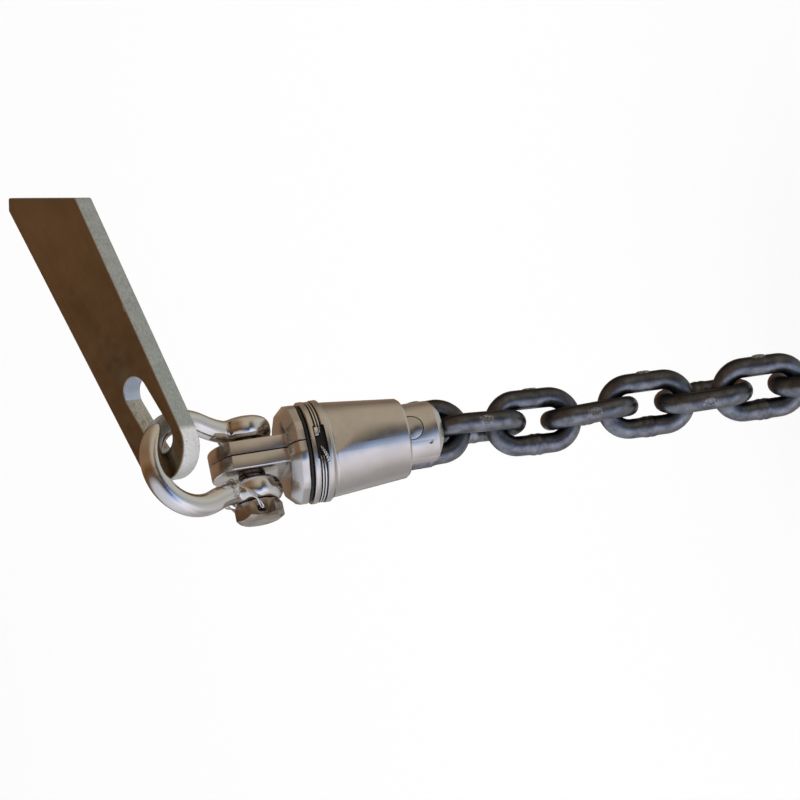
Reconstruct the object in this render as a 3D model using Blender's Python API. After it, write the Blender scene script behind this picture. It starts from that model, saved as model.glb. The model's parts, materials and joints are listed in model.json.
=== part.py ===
"""Lower end of a boat anchor's shank with its bow shackle, cone swivel and chain.

Lengths are metres and +Z is up. The part hangs from the cut end of the shank, whose middle is
the origin. Drops are distances straight down from the middle of the shackle pin, which lies
along X; the swivel and the chain hang below it.
"""
import math

import bmesh
import bpy
from mathutils import Matrix, Vector

MM = 0.001
GAP = 0.3 * MM                    # clearance that pieces keep where they touch

# Shank: a flat bar with a slot, set at these angles to the hanging chain
SHANK_THICK = 12.0 * MM
SHANK_TIP_HALF = 18.6 * MM        # half width where the rounded tip starts
SHANK_TAPER = 0.0365              # growth of the half width for each unit of length
SHANK_TIP_REACH = 18.1 * MM
SHANK_EDGE = 0.8 * MM             # worn edge all round the bar
SLOT_WIDE = 17.2 * MM
SLOT_SIDE = -3.4 * MM             # middle of the slot's low end, across the bar
SLOT_LOW = -5.0 * MM              # lowest point of the slot, from the start of the tip
SLOT_TOP = 39.6 * MM
SLOT_TURN = math.radians(6.0)     # the slot's lean from the bar's own length
SHANK_HEADING = math.radians(3.6)
SHANK_RISE = math.radians(13.2)
SHANK_ROLL = math.radians(32.8)
SHANK_SKEW = math.radians(0.57)   # turn in the bar's own plane
TIP_FROM_PIN = Vector((9.5, -21.9, 48.6)) * MM    # start of the tip on the front face
BUTT_LONG = 168.6 * MM            # the sawn butt runs from here on one edge ...
BUTT_SHORT = 137.9 * MM           # ... to here on the other
BUTT_CLIP = 5.8 * MM              # small cut corner on the long edge

# Bow shackle
BOW_WIRE = 6.0 * MM               # radius of its round bar
BOW_REACH = 60.0 * MM             # pin centre to the middle of the bar at the crown
BOW_HALF = 23.15 * MM             # half width at the middle of the bar
BOW_LEAN = math.radians(25.65)    # lean of the bow from upright, towards -Y
EAR_IN = 9.9 * MM
EAR_OUT = 22.9 * MM
EAR_RADIUS = 14.6 * MM
PIN_RADIUS = 6.9 * MM
HEAD_IN = 23.2 * MM
HEAD_OUT = 32.4 * MM
HEAD_CORNER = 13.0 * MM           # centre of the head to a corner of the hexagon
HEAD_HOLE = 1.6 * MM

# Split eye: tongue, flange and stem in two halves
TONGUE_HALF_THICK = 7.8 * MM
TONGUE_HALF_WIDE = 17.6 * MM
TONGUE_END = 21.1 * MM
FLANGE_TOP = 17.75 * MM
FLANGE_FACE = 22.4 * MM
FLANGE_RADIUS = 26.9 * MM
FLANGE_FLATS = 10
FLANGE_LOW = 26.75 * MM
STEM_RADIUS = 21.0 * MM
STEM_LOW = 46.0 * MM
SOCKET_TOP = 30.0 * MM
SOCKET_LOW = 41.0 * MM
SOCKET_RADIUS = 14.5 * MM
NECK_RADIUS = 8.5 * MM
DOWEL_RADIUS = 1.5 * MM
DOWEL_DROP = 23.4 * MM
DOWEL_SIDES = (-18.0 * MM, 18.0 * MM)

# Cone sleeve and what is locked to it
SLEEVE_TOP = 29.2 * MM
RING_RADIUS = 27.3 * MM
GROOVE_TOP = 32.3 * MM
GROOVE_LOW = 36.1 * MM
GROOVE_RADIUS = 25.7 * MM
CONE_TOP = 42.6 * MM
CONE_TOP_RADIUS = 25.5 * MM
CONE_LOW = 83.6 * MM
CONE_LOW_RADIUS = 21.6 * MM
SLEEVE_BORE = 18.7 * MM
BUSH_SEAT = 19.7 * MM             # radius of the wider bore that holds the bush
LOCK_WIRE = 0.55 * MM             # radius
SEIZING_WIRE = 0.6 * MM           # radius

# Chain jaw and chain pin
JAW_RADIUS = 18.0 * MM
JAW_LOW = 103.0 * MM
JAW_SLOT_TOP = 66.2 * MM
JAW_LIP = 3.2 * MM                # length of the chamfer round the jaw's end
CHAIN_PIN_RADIUS = 6.3 * MM
CHAIN_PIN_DROP = 85.5 * MM
JAW_SCOOP = 21.0 * MM             # radius of the hollow in the cheeks' ends that clears the second link

# Chain: short links of round bar
LINK_WIRE = 5.5 * MM              # radius
LINK_INSIDE = 33.0 * MM           # length of the hole
LINK_WIDE = 36.0 * MM
LINK_GAP = 0.9 * MM
# for each link, in degrees: lean to -X, lean to -Y, turn about its length
LINK_POSES = (
    (-1, 0, 0), (3, -3, 94), (3, 1, 14), (1, 9, 104),
    (4, 10, 25), (4, 13, 118), (4, 11, 32), (3, 7, 120),
)

SHANK_TURN = (
    Matrix.Rotation(SHANK_HEADING, 4, "Z")
    @ Matrix.Rotation(-SHANK_RISE, 4, "Y")
    @ Matrix.Rotation(SHANK_ROLL, 4, "X")
    @ Matrix.Rotation(SHANK_SKEW, 4, "Z")
)


def shank_half(along):
    return SHANK_TIP_HALF + SHANK_TAPER * along


# The butt's middle in the shank's own axes: along the bar, across it, and out of the front
BUTT_LONG_HALF = shank_half(BUTT_LONG) - BUTT_CLIP * 0.75
BUTT_MID = Vector((
    (BUTT_LONG + BUTT_SHORT) / 2,
    (BUTT_LONG_HALF - shank_half(BUTT_SHORT)) / 2,
    -SHANK_THICK / 2,
))
PIN = -(TIP_FROM_PIN + SHANK_TURN @ BUTT_MID)
SHANK_PLACE = Matrix.Translation(PIN + TIP_FROM_PIN) @ SHANK_TURN
SWIVEL_PLACE = Matrix.Translation(PIN)
# The bow's own axes: X along the pin, Z towards the crown
BOW_PLACE = Matrix.Translation(PIN) @ Matrix.Rotation(BOW_LEAN, 4, "X")
ALONG_X = Matrix.Rotation(math.pi / 2, 4, "Y")
ALONG_Y = Matrix.Rotation(-math.pi / 2, 4, "X")

FINISHES = {
    "galvanised": ((0.42, 0.41, 0.38, 1), 1.0, 0.45),
    "polished_steel": ((0.62, 0.60, 0.57, 1), 1.0, 0.12),
    "satin_steel": ((0.55, 0.53, 0.50, 1), 1.0, 0.28),
    "wire": ((0.70, 0.70, 0.70, 1), 1.0, 0.2),
    "bronze": ((0.50, 0.33, 0.14, 1), 1.0, 0.35),
    "seal": ((0.01, 0.01, 0.01, 1), 0.0, 0.6),
    "dark_chain": ((0.03, 0.035, 0.045, 1), 1.0, 0.45),
}


def finish(obj, kind):
    """Give the object a Principled material of its own."""
    colour, metallic, roughness = FINISHES[kind]
    material = bpy.data.materials.new(obj.name)
    material.use_nodes = True
    shader = material.node_tree.nodes["Principled BSDF"]
    shader.inputs["Base Color"].default_value = colour
    shader.inputs["Metallic"].default_value = metallic
    shader.inputs["Roughness"].default_value = roughness
    obj.data.materials.clear()
    obj.data.materials.append(material)
    return obj


def make_object(name, bm, place):
    """Turn a bmesh into an object whose mesh already stands in the world's axes."""
    bmesh.ops.remove_doubles(bm, verts=bm.verts, dist=1e-7)
    bm.transform(place)
    bmesh.ops.recalc_face_normals(bm, faces=bm.faces)
    mesh = bpy.data.meshes.new(name)
    bm.to_mesh(mesh)
    bm.free()
    obj = bpy.data.objects.new(name, mesh)
    bpy.context.scene.collection.objects.link(obj)
    return obj


def boolean(obj, other, operation):
    """Join or cut two closed bodies and keep only the result."""
    modifier = obj.modifiers.new("boolean", "BOOLEAN")
    modifier.operation = operation
    modifier.solver = "EXACT"
    modifier.object = other
    graph = bpy.context.evaluated_depsgraph_get()
    mesh = bpy.data.meshes.new_from_object(obj.evaluated_get(graph))
    obj.modifiers.clear()
    obj.data = mesh
    bpy.data.objects.remove(other)
    return obj


def turned(name, profile, place, steps=48, start=0.0, sweep=math.tau, flats=None):
    """Turn a closed outline of (radius, drop) about the drop axis, wholly or in part.

    flats is (count, first point, last point, depth): those points of the outline follow flats.
    """
    bm = bmesh.new()
    whole = abs(sweep - math.tau) < 1e-6
    rings = []
    for step in range(steps if whole else steps + 1):
        angle = start + sweep * step / steps
        ring = []
        for index, (radius, drop) in enumerate(profile):
            if flats and flats[1] <= index <= flats[2]:
                pitch = math.tau / flats[0]
                off = angle % pitch - pitch / 2
                radius = min(radius, (radius - flats[3]) / math.cos(off))
            ring.append(bm.verts.new((radius * math.cos(angle), radius * math.sin(angle), -drop)))
        rings.append(ring)
    count = len(profile)
    for step in range(steps):
        this = rings[step]
        following = rings[(step + 1) % len(rings)]
        for index in range(count):
            after = (index + 1) % count
            if profile[index][0] == 0 and profile[after][0] == 0:
                continue
            bm.faces.new((this[index], this[after], following[after], following[index]))
    if not whole:
        bm.faces.new(rings[0])
        bm.faces.new(list(reversed(rings[-1])))
    bmesh.ops.dissolve_degenerate(bm, dist=1e-7, edges=bm.edges)
    return make_object(name, bm, place)


def layered(name, layers, place):
    """A prism through several outlines of equal length, each a list of points."""
    bm = bmesh.new()
    rings = [[bm.verts.new(point) for point in layer] for layer in layers]
    for low, high in zip(rings, rings[1:]):
        for index in range(len(low)):
            after = (index + 1) % len(low)
            bm.faces.new((low[index], low[after], high[after], high[index]))
    bm.faces.new(list(reversed(rings[0])))
    bm.faces.new(rings[-1])
    return make_object(name, bm, place)


def block(name, low, high, place):
    """A box between two corners."""
    outline = [(low[0], low[1]), (high[0], low[1]), (high[0], high[1]), (low[0], high[1])]
    layers = [[(x, y, z) for x, y in outline] for z in (low[2], high[2])]
    return layered(name, layers, place)


def rod(name, radius, low, high, place, sides=32, chamfer=0.0):
    """A round bar between two stations of its own Z."""
    ends = [(low, radius - chamfer), (low + chamfer, radius), (high - chamfer, radius)]
    ends.append((high, radius - chamfer))
    if chamfer == 0:
        ends = [(low, radius), (high, radius)]
    turns = [math.tau * step / sides for step in range(sides)]
    layers = [[(r * math.cos(t), r * math.sin(t), z) for t in turns] for z, r in ends]
    return layered(name, layers, place)


def tube(name, path, radius, place, sides=10, closed=False):
    """A round bar of one thickness along a path of points."""
    count = len(path)
    points = [Vector(point) for point in path]
    tangents = []
    for index in range(count):
        before = points[index - 1] if closed or index else points[0]
        after = points[(index + 1) % count] if closed or index < count - 1 else points[-1]
        tangents.append((after - before).normalized())
    side = tangents[0].orthogonal().normalized()
    frames = []
    for tangent in tangents:
        side = (side - tangent * side.dot(tangent)).normalized()
        frames.append((side, tangent.cross(side)))
    layers = []
    for point, (across, up) in zip(points, frames):
        turns = [math.tau * step / sides for step in range(sides)]
        layers.append([point + radius * (math.cos(t) * across + math.sin(t) * up) for t in turns])
    if not closed:
        return layered(name, layers, place)
    # A closed path's last ring is matched to its first by the turn that lies nearest
    first = layers[0]
    last = layers[-1]
    spans = [sum((last[i] - first[(i + s) % sides]).length for i in range(sides)) for s in range(sides)]
    shift = spans.index(min(spans))
    bm = bmesh.new()
    rings = [[bm.verts.new(point) for point in layer] for layer in layers]
    for index in range(count):
        this = rings[index]
        following = rings[(index + 1) % count]
        move = shift if index == count - 1 else 0
        for step in range(sides):
            after = (step + 1) % sides
            bm.faces.new((
                this[step], this[after],
                following[(after + move) % sides], following[(step + move) % sides],
            ))
    return make_object(name, bm, place)


def smooth_path(points, steps, closed=False):
    """Points on a smooth curve through the given ones."""
    points = [Vector(point) for point in points]
    count = len(points)
    path = []
    for index in range(count if closed else count - 1):
        if closed:
            p0, p1, p2, p3 = (points[(index + k) % count] for k in (-1, 0, 1, 2))
        else:
            p0, p1, p2, p3 = (points[min(max(index + k, 0), count - 1)] for k in (-1, 0, 1, 2))
        for step in range(steps):
            t = step / steps
            path.append(0.5 * (
                2 * p1 + (p2 - p0) * t + (2 * p0 - 5 * p1 + 4 * p2 - p3) * t * t
                + (3 * p1 - p0 - 3 * p2 + p3) * t ** 3
            ))
    if not closed:
        path.append(points[-1])
    return path


# ---------------------------------------------------------------- shank

def shank_outline(inset):
    """Outline of the bar seen from its front, from the butt's short side round the tip."""
    half = SHANK_TIP_HALF - inset
    reach = SHANK_TIP_REACH - inset
    outline = [(BUTT_SHORT, -(shank_half(BUTT_SHORT) - inset))]
    for step in range(25):
        angle = math.pi * step / 24
        outline.append((-reach * math.sin(angle), -half * math.cos(angle)))
    clip_along = BUTT_LONG - BUTT_CLIP
    outline.append((clip_along, shank_half(clip_along) - inset))
    outline.append((BUTT_LONG, BUTT_LONG_HALF))
    return outline


def make_shank():
    levels = (
        (SHANK_EDGE, -SHANK_THICK), (0.0, SHANK_EDGE - SHANK_THICK), (0.0, -SHANK_EDGE), (SHANK_EDGE, 0.0),
    )
    layers = [[(u, v, n) for u, v in shank_outline(inset)] for inset, n in levels]
    shank = layered("anchor_shank", layers, SHANK_PLACE)
    radius = SLOT_WIDE / 2
    slot = []
    low = Vector((SLOT_LOW + radius, SLOT_SIDE))
    run = SLOT_TOP - SLOT_LOW - 2 * radius
    top = low + run * Vector((math.cos(SLOT_TURN), math.sin(SLOT_TURN)))
    for middle, start in ((top, -90), (low, 90)):
        for step in range(13):
            angle = math.radians(start + 180 * step / 12) + SLOT_TURN
            slot.append((middle.x + radius * math.cos(angle), middle.y + radius * math.sin(angle)))
    layers = [[(u, v, n) for u, v in slot] for n in (-SHANK_THICK - MM, MM)]
    boolean(shank, layered("slot", layers, SHANK_PLACE), "DIFFERENCE")
    return finish(shank, "galvanised")


# ---------------------------------------------------------------- shackle

def bow_path():
    """Middle of the bow's bar: a round crown that draws in to the two ears."""
    centre = BOW_REACH - BOW_HALF
    arc_end = math.radians(115)
    crown = []
    for step in range(37):
        angle = -arc_end + 2 * arc_end * step / 36
        crown.append(Vector((BOW_HALF * math.sin(angle), 0, centre + BOW_HALF * math.cos(angle))))
    start = crown[-1]
    lead = Vector((math.cos(arc_end), 0, -math.sin(arc_end)))
    end = Vector(((EAR_IN + EAR_OUT) / 2, 0, 0))
    pull = (end - start).length * 0.4
    leg = []
    for step in range(1, 13):
        t = step / 12
        leg.append(
            (1 - t) ** 3 * start + 3 * (1 - t) ** 2 * t * (start + lead * pull)
            + 3 * (1 - t) * t ** 2 * (end + Vector((0, 0, pull))) + t ** 3 * end
        )
    other = [Vector((-point.x, 0, point.z)) for point in reversed(leg)]
    return other + crown + leg


def make_bow():
    bow = tube("shackle_bow", bow_path(), BOW_WIRE, BOW_PLACE, sides=14)
    edge = 2.4 * MM
    ear = [
        (0, EAR_IN), (EAR_RADIUS - edge, EAR_IN), (EAR_RADIUS, EAR_IN + edge),
        (EAR_RADIUS, EAR_OUT - edge), (EAR_RADIUS - edge, EAR_OUT), (0, EAR_OUT),
    ]
    for turn in (ALONG_X, Matrix.Rotation(-math.pi / 2, 4, "Y")):
        boolean(bow, turned("ear", ear, BOW_PLACE @ turn, steps=32), "UNION")
    hole = rod("hole", PIN_RADIUS + GAP, -2 * EAR_OUT, 2 * EAR_OUT, SWIVEL_PLACE @ ALONG_X)
    boolean(bow, hole, "DIFFERENCE")
    return finish(bow, "polished_steel")


def make_shackle_pin():
    shaft = rod("shackle_pin", PIN_RADIUS, -HEAD_OUT + MM, EAR_OUT + MM, SWIVEL_PLACE @ ALONG_X,
                chamfer=0.8 * MM)
    turns = [math.radians(60 * step) for step in range(6)]
    edge = 0.9 * MM
    levels = (
        (-HEAD_OUT, HEAD_CORNER - edge), (-HEAD_OUT + edge, HEAD_CORNER),
        (-HEAD_IN - edge / 2, HEAD_CORNER), (-HEAD_IN, HEAD_CORNER - edge / 2),
    )
    layers = [[(x, r * math.sin(t), r * math.cos(t)) for t in turns] for x, r in levels]
    boolean(shaft, layered("head", layers, SWIVEL_PLACE), "UNION")
    middle = Matrix.Translation((-(HEAD_IN + HEAD_OUT) / 2, 0, 0))
    hole = rod("hole", HEAD_HOLE, -HEAD_CORNER, HEAD_CORNER, SWIVEL_PLACE @ middle @ ALONG_Y, sides=16)
    boolean(shaft, hole, "DIFFERENCE")
    return finish(shaft, "polished_steel")


def make_seizing_wire():
    """Wire loop through the head's hole and round the bow's lower leg."""
    head = -(HEAD_IN + HEAD_OUT) / 2
    flat = HEAD_CORNER * math.cos(math.radians(30))
    height = 15.8 * MM
    leg = -18.0 * MM
    away = BOW_WIRE + SEIZING_WIRE + 1.4 * MM
    lean = Matrix.Rotation(BOW_LEAN, 4, "X")
    round_leg = []
    for degrees in range(-115, 116, 46):
        turn = math.radians(degrees)
        point = Vector((leg + away * math.cos(turn), away * math.sin(turn), height + turn * 0.5 * MM))
        round_leg.append(lean @ point)
    outside = EAR_RADIUS + 1.6 * MM
    points = [
        Vector((head, -flat - 1.2 * MM, 0)),
        Vector((head + 3.4 * MM, -outside, 4 * MM)),
        *round_leg,
        Vector((head + 3.2 * MM, outside, 4 * MM)),
        Vector((head, flat + 1.6 * MM, 0.8 * MM)),
        Vector((head, flat, 0)),
        Vector((head, 0, 0)),
        Vector((head, -flat, 0)),
    ]
    wire = tube("shackle_seizing_wire", smooth_path(points, 6, closed=True), SEIZING_WIRE,
                SWIVEL_PLACE, sides=6, closed=True)
    return finish(wire, "wire")


# ---------------------------------------------------------------- split eye

def tongue_outline(inset):
    half = TONGUE_HALF_WIDE - inset
    end = TONGUE_END - inset
    turn = math.asin(half / end)
    outline = [(half, -FLANGE_TOP - MM)]
    for step in range(17):
        angle = turn - 2 * turn * step / 16
        outline.append((end * math.sin(angle), end * math.cos(angle)))
    outline.append((-half, -FLANGE_TOP - MM))
    return outline


def make_eye_half(name, side):
    """One half of tongue, flange and stem; side is +1 for the +X half and -1 for the other."""
    shift = SWIVEL_PLACE @ Matrix.Translation((side * GAP / 2, 0, 0))
    profile = [
        (0, FLANGE_TOP), (FLANGE_FACE, FLANGE_TOP), (FLANGE_RADIUS, FLANGE_TOP + 4.8 * MM),
        (FLANGE_RADIUS, FLANGE_LOW - 0.4 * MM), (FLANGE_RADIUS - 0.4 * MM, FLANGE_LOW),
        (STEM_RADIUS, FLANGE_LOW), (STEM_RADIUS, STEM_LOW), (NECK_RADIUS + 0.4 * MM, STEM_LOW),
        (NECK_RADIUS + 0.4 * MM, SOCKET_LOW), (SOCKET_RADIUS, SOCKET_LOW),
        (SOCKET_RADIUS, SOCKET_TOP), (0, SOCKET_TOP),
    ]
    start = -math.pi / 2 if side > 0 else math.pi / 2
    half = turned(name, profile, shift, steps=40, start=start, sweep=math.pi,
                  flats=(FLANGE_FLATS, 1, 4, 0.7 * MM))
    edge = 1.0 * MM
    levels = ((0.0, 0.0), (TONGUE_HALF_THICK - edge, 0.0), (TONGUE_HALF_THICK, edge))
    layers = [[(side * x, y, z) for y, z in tongue_outline(inset)] for x, inset in levels]
    boolean(half, layered("tongue", layers, shift), "UNION")
    hole = rod("hole", PIN_RADIUS + GAP, -30 * MM, 30 * MM, SWIVEL_PLACE @ ALONG_X)
    boolean(half, hole, "DIFFERENCE")
    for y in DOWEL_SIDES:
        place = SWIVEL_PLACE @ Matrix.Translation((0, y, -DOWEL_DROP)) @ ALONG_X
        boolean(half, rod("hole", DOWEL_RADIUS + GAP, -5.3 * MM, 5.3 * MM, place, sides=16), "DIFFERENCE")
    return finish(half, "satin_steel")


def make_dowels():
    """Two dowels that line up the halves of the eye."""
    for number, y in enumerate(DOWEL_SIDES, start=1):
        place = SWIVEL_PLACE @ Matrix.Translation((0, y, -DOWEL_DROP)) @ ALONG_X
        finish(rod(f"eye_dowel_{number}", DOWEL_RADIUS, -5 * MM, 5 * MM, place, sides=16), "satin_steel")


def make_bearing(name, side):
    """Half of the bearing ring under the head of the jaw's stem."""
    shift = SWIVEL_PLACE @ Matrix.Translation((side * GAP / 2, 0, 0))
    inner = NECK_RADIUS + GAP
    outer = SOCKET_RADIUS - GAP
    low = SOCKET_LOW - GAP
    top = low - 3.6 * MM
    profile = [(inner, top), (outer, top), (outer, low), (inner, low)]
    start = -math.pi / 2 if side > 0 else math.pi / 2
    return finish(turned(name, profile, shift, steps=24, start=start, sweep=math.pi), "bronze")


# ---------------------------------------------------------------- sleeve

def make_seal():
    inner = STEM_RADIUS + GAP
    outer = 25.8 * MM
    top = FLANGE_LOW + GAP
    low = SLEEVE_TOP - GAP
    mid = (top + low) / 2
    profile = [(inner, top), (outer - 0.6 * MM, top), (outer, mid), (outer - 0.6 * MM, low), (inner, low)]
    return finish(turned("flange_seal_ring", profile, SWIVEL_PLACE, steps=48), "seal")


def make_sleeve():
    edge = 0.4 * MM
    profile = [
        (STEM_RADIUS + GAP, SLEEVE_TOP), (RING_RADIUS - edge, SLEEVE_TOP),
        (RING_RADIUS, SLEEVE_TOP + edge), (RING_RADIUS, GROOVE_TOP - edge),
        (RING_RADIUS - edge, GROOVE_TOP), (GROOVE_RADIUS, GROOVE_TOP), (GROOVE_RADIUS, GROOVE_LOW),
        (RING_RADIUS - edge, GROOVE_LOW), (RING_RADIUS, GROOVE_LOW + edge),
        (RING_RADIUS, 39.3 * MM), (RING_RADIUS - edge, 39.8 * MM),
        (CONE_TOP_RADIUS + 0.3 * MM, 41.2 * MM), (CONE_TOP_RADIUS, CONE_TOP),
        (CONE_LOW_RADIUS, CONE_LOW - 1.2 * MM), (CONE_LOW_RADIUS - 0.9 * MM, CONE_LOW),
        (SLEEVE_BORE, CONE_LOW), (SLEEVE_BORE, 60 * MM), (BUSH_SEAT, 60 * MM),
        (BUSH_SEAT, 47 * MM), (STEM_RADIUS + GAP, 47 * MM),
    ]
    sleeve = turned("cone_sleeve", profile, SWIVEL_PLACE, steps=56)
    window = block("window", (-6.8 * MM, -32 * MM, -37.4 * MM), (6.8 * MM, -23.9 * MM, -31.2 * MM),
                   SWIVEL_PLACE)
    boolean(sleeve, window, "DIFFERENCE")
    return finish(sleeve, "satin_steel")


def make_bush():
    inner = JAW_RADIUS + GAP
    outer = BUSH_SEAT - GAP
    profile = [(inner, 47.5 * MM), (outer, 47.5 * MM), (outer, 59.7 * MM), (inner, 59.7 * MM)]
    return finish(turned("jaw_bush", profile, SWIVEL_PLACE, steps=48), "bronze")


def make_lock_key():
    low = (1.2 * MM, -26.6 * MM, -34.0 * MM)
    high = (5.8 * MM, -24.2 * MM, -31.6 * MM)
    return finish(block("sleeve_lock_key", low, high, SWIVEL_PLACE), "wire")


def make_lock_wire():
    """Wire laid once round the groove, with its two ends brought out as a short tail."""
    round_radius = GROOVE_RADIUS + GAP + LOCK_WIRE
    drop = (GROOVE_TOP + GROOVE_LOW) / 2 + 0.9 * MM
    # (degrees from -Y towards +X, drop, radius) of the first end, the groove and the second end
    stations = [(-34, 36.6 * MM, 28.6 * MM), (-24, 35.4 * MM, 28.3 * MM), (-12, 34.6 * MM, 27.8 * MM)]
    stations.append((2, drop, round_radius))
    stations += [(degrees, drop, round_radius) for degrees in range(14, 337, 12)]
    stations += [(343, drop, round_radius + 0.2 * MM), (347, drop + 0.6 * MM, 27.3 * MM)]
    stations += [(344, drop + 1.2 * MM, 28.2 * MM), (336, drop + 1.6 * MM, 28.5 * MM)]
    stations += [(326, drop + 2.6 * MM, 28.7 * MM)]
    points = []
    for degrees, down, radius in stations:
        angle = math.radians(degrees)
        points.append(Vector((radius * math.sin(angle), -radius * math.cos(angle), -down)))
    wire = tube("sleeve_lock_wire", smooth_path(points, 3), LOCK_WIRE, SWIVEL_PLACE, sides=6)
    return finish(wire, "wire")


# ---------------------------------------------------------------- jaw and chain

def make_jaw():
    edge = 1.1 * MM
    profile = [
        (0, SOCKET_TOP + 2 * GAP), (13.5 * MM, SOCKET_TOP + 2 * GAP), (13.9 * MM, 31.0 * MM),
        (13.9 * MM, 36.4 * MM), (13.5 * MM, 36.8 * MM), (NECK_RADIUS, 36.8 * MM),
        (NECK_RADIUS, STEM_LOW + 2 * GAP), (JAW_RADIUS - edge, STEM_LOW + 2 * GAP),
        (JAW_RADIUS, STEM_LOW + 2 * GAP + edge), (JAW_RADIUS, JAW_LOW - JAW_LIP),
        (JAW_RADIUS - 0.7 * JAW_LIP, JAW_LOW), (0, JAW_LOW),
    ]
    jaw = turned("chain_jaw", profile, SWIVEL_PLACE, steps=48)
    half = LINK_WIRE + 0.4 * MM
    slot = block("slot", (-30 * MM, -half, -JAW_LOW - MM), (30 * MM, half, -JAW_SLOT_TOP), SWIVEL_PLACE)
    boolean(jaw, slot, "DIFFERENCE")
    scoop = SWIVEL_PLACE @ Matrix.Translation((0, 0, -CHAIN_PIN_DROP - LINK_INSIDE)) @ ALONG_X
    boolean(jaw, rod("scoop", JAW_SCOOP, -30 * MM, 30 * MM, scoop, sides=64), "DIFFERENCE")
    across = SWIVEL_PLACE @ Matrix.Translation((0, 0, -CHAIN_PIN_DROP)) @ ALONG_Y
    boolean(jaw, rod("hole", CHAIN_PIN_RADIUS + GAP, -30 * MM, 30 * MM, across), "DIFFERENCE")
    turn = Matrix.Rotation(math.radians(-29), 4, "Z")
    dimple = SWIVEL_PLACE @ turn @ Matrix.Translation((0, -JAW_RADIUS, -95 * MM)) @ ALONG_Y
    boolean(jaw, rod("dimple", 1.3 * MM, -2 * MM, 1.6 * MM, dimple, sides=12), "DIFFERENCE")
    return finish(jaw, "satin_steel")


def make_chain_pin():
    across = SWIVEL_PLACE @ Matrix.Translation((0, 0, -CHAIN_PIN_DROP)) @ ALONG_Y
    pin = rod("chain_pin", CHAIN_PIN_RADIUS, -17.2 * MM, 17.2 * MM, across, chamfer=0.3 * MM)
    return finish(pin, "satin_steel")


def link_path():
    """Middle of a link's bar: two round ends and two straight arms, with Z along the link."""
    bend = LINK_WIDE / 2 - LINK_WIRE
    straight = LINK_INSIDE / 2 + LINK_WIRE - bend
    path = []
    for middle, start in ((straight, 0), (-straight, 180)):
        for step in range(13):
            angle = math.radians(start + 180 * step / 12)
            path.append((bend * math.cos(angle), 0, middle + bend * math.sin(angle)))
        arm = -bend if start == 0 else bend
        for part in (1, 2):
            path.append((arm, 0, middle * (1 - 2 * part / 3)))
    return path


def link_places():
    """Where each link hangs: its middle and its turn, one hooked in the next."""
    places = []
    contact = PIN + Vector((0, 0, -(CHAIN_PIN_DROP - CHAIN_PIN_RADIUS - LINK_GAP)))
    for lean_x, lean_y, roll in LINK_POSES:
        turn = (
            Matrix.Rotation(math.radians(lean_x), 4, "Y")
            @ Matrix.Rotation(-math.radians(lean_y), 4, "X")
            @ Matrix.Rotation(-math.radians(roll), 4, "Z")
        )
        down = turn @ Vector((0, 0, -1))
        middle = contact + down * LINK_INSIDE / 2
        places.append(Matrix.Translation(middle) @ turn)
        contact = middle + down * (LINK_INSIDE / 2 - LINK_GAP)
    return places


def make_links():
    for number, place in enumerate(link_places(), start=1):
        link = tube(f"chain_link_{number}", link_path(), LINK_WIRE, place, sides=12, closed=True)
        finish(link, "dark_chain")


def main():
    for obj in list(bpy.data.objects):
        bpy.data.objects.remove(obj)
    make_shank()
    make_bow()
    make_shackle_pin()
    make_seizing_wire()
    make_eye_half("eye_half_upper", 1)
    make_eye_half("eye_half_lower", -1)
    make_dowels()
    make_bearing("bearing_shell_upper", 1)
    make_bearing("bearing_shell_lower", -1)
    make_seal()
    make_sleeve()
    make_bush()
    make_lock_key()
    make_lock_wire()
    make_jaw()
    make_chain_pin()
    make_links()


main()
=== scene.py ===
"""Looks of the anchor shank, bow shackle, cone swivel and chain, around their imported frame."""
import json
import math

import bpy
from bpy.props import FloatProperty, FloatVectorProperty, IntProperty, PointerProperty
from mathutils import Matrix, Vector


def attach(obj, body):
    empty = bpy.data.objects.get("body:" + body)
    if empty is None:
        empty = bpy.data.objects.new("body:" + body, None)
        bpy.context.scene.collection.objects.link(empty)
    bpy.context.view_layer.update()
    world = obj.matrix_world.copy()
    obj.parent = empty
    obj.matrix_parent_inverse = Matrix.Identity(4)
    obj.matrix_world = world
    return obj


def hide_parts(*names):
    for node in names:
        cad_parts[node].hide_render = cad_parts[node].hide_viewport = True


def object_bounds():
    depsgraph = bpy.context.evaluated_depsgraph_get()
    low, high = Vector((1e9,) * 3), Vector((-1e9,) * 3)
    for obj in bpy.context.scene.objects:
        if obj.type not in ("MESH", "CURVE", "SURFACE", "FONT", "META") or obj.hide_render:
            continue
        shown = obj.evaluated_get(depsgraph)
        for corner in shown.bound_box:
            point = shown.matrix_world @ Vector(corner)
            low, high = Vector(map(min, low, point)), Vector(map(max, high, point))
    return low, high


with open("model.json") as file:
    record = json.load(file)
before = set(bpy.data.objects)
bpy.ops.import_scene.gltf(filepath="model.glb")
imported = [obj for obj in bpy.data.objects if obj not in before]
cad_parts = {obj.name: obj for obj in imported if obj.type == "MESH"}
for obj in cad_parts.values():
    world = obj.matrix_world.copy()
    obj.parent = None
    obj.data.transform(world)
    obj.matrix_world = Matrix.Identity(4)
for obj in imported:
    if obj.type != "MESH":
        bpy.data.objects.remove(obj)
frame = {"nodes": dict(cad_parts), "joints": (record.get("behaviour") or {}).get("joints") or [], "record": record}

bl_info = {
    "name": "Anchor Swivel Builder",
    "version": (1, 0, 0),
    "blender": (4, 5, 0),
    "location": "View3D > Sidebar > Anchor",
    "description": "Builds a shank end, bow shackle, cone swivel and chain around their frame",
    "category": "Add Mesh",
}

MM = 0.001
CAD_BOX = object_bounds()
JOINTS = {joint["name"]: joint for joint in frame["joints"]}
NODES = frame["nodes"]


def joint_point(name):
    """Where a joint of the frame sits."""
    return Vector(JOINTS[name]["pos_m"])


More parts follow.
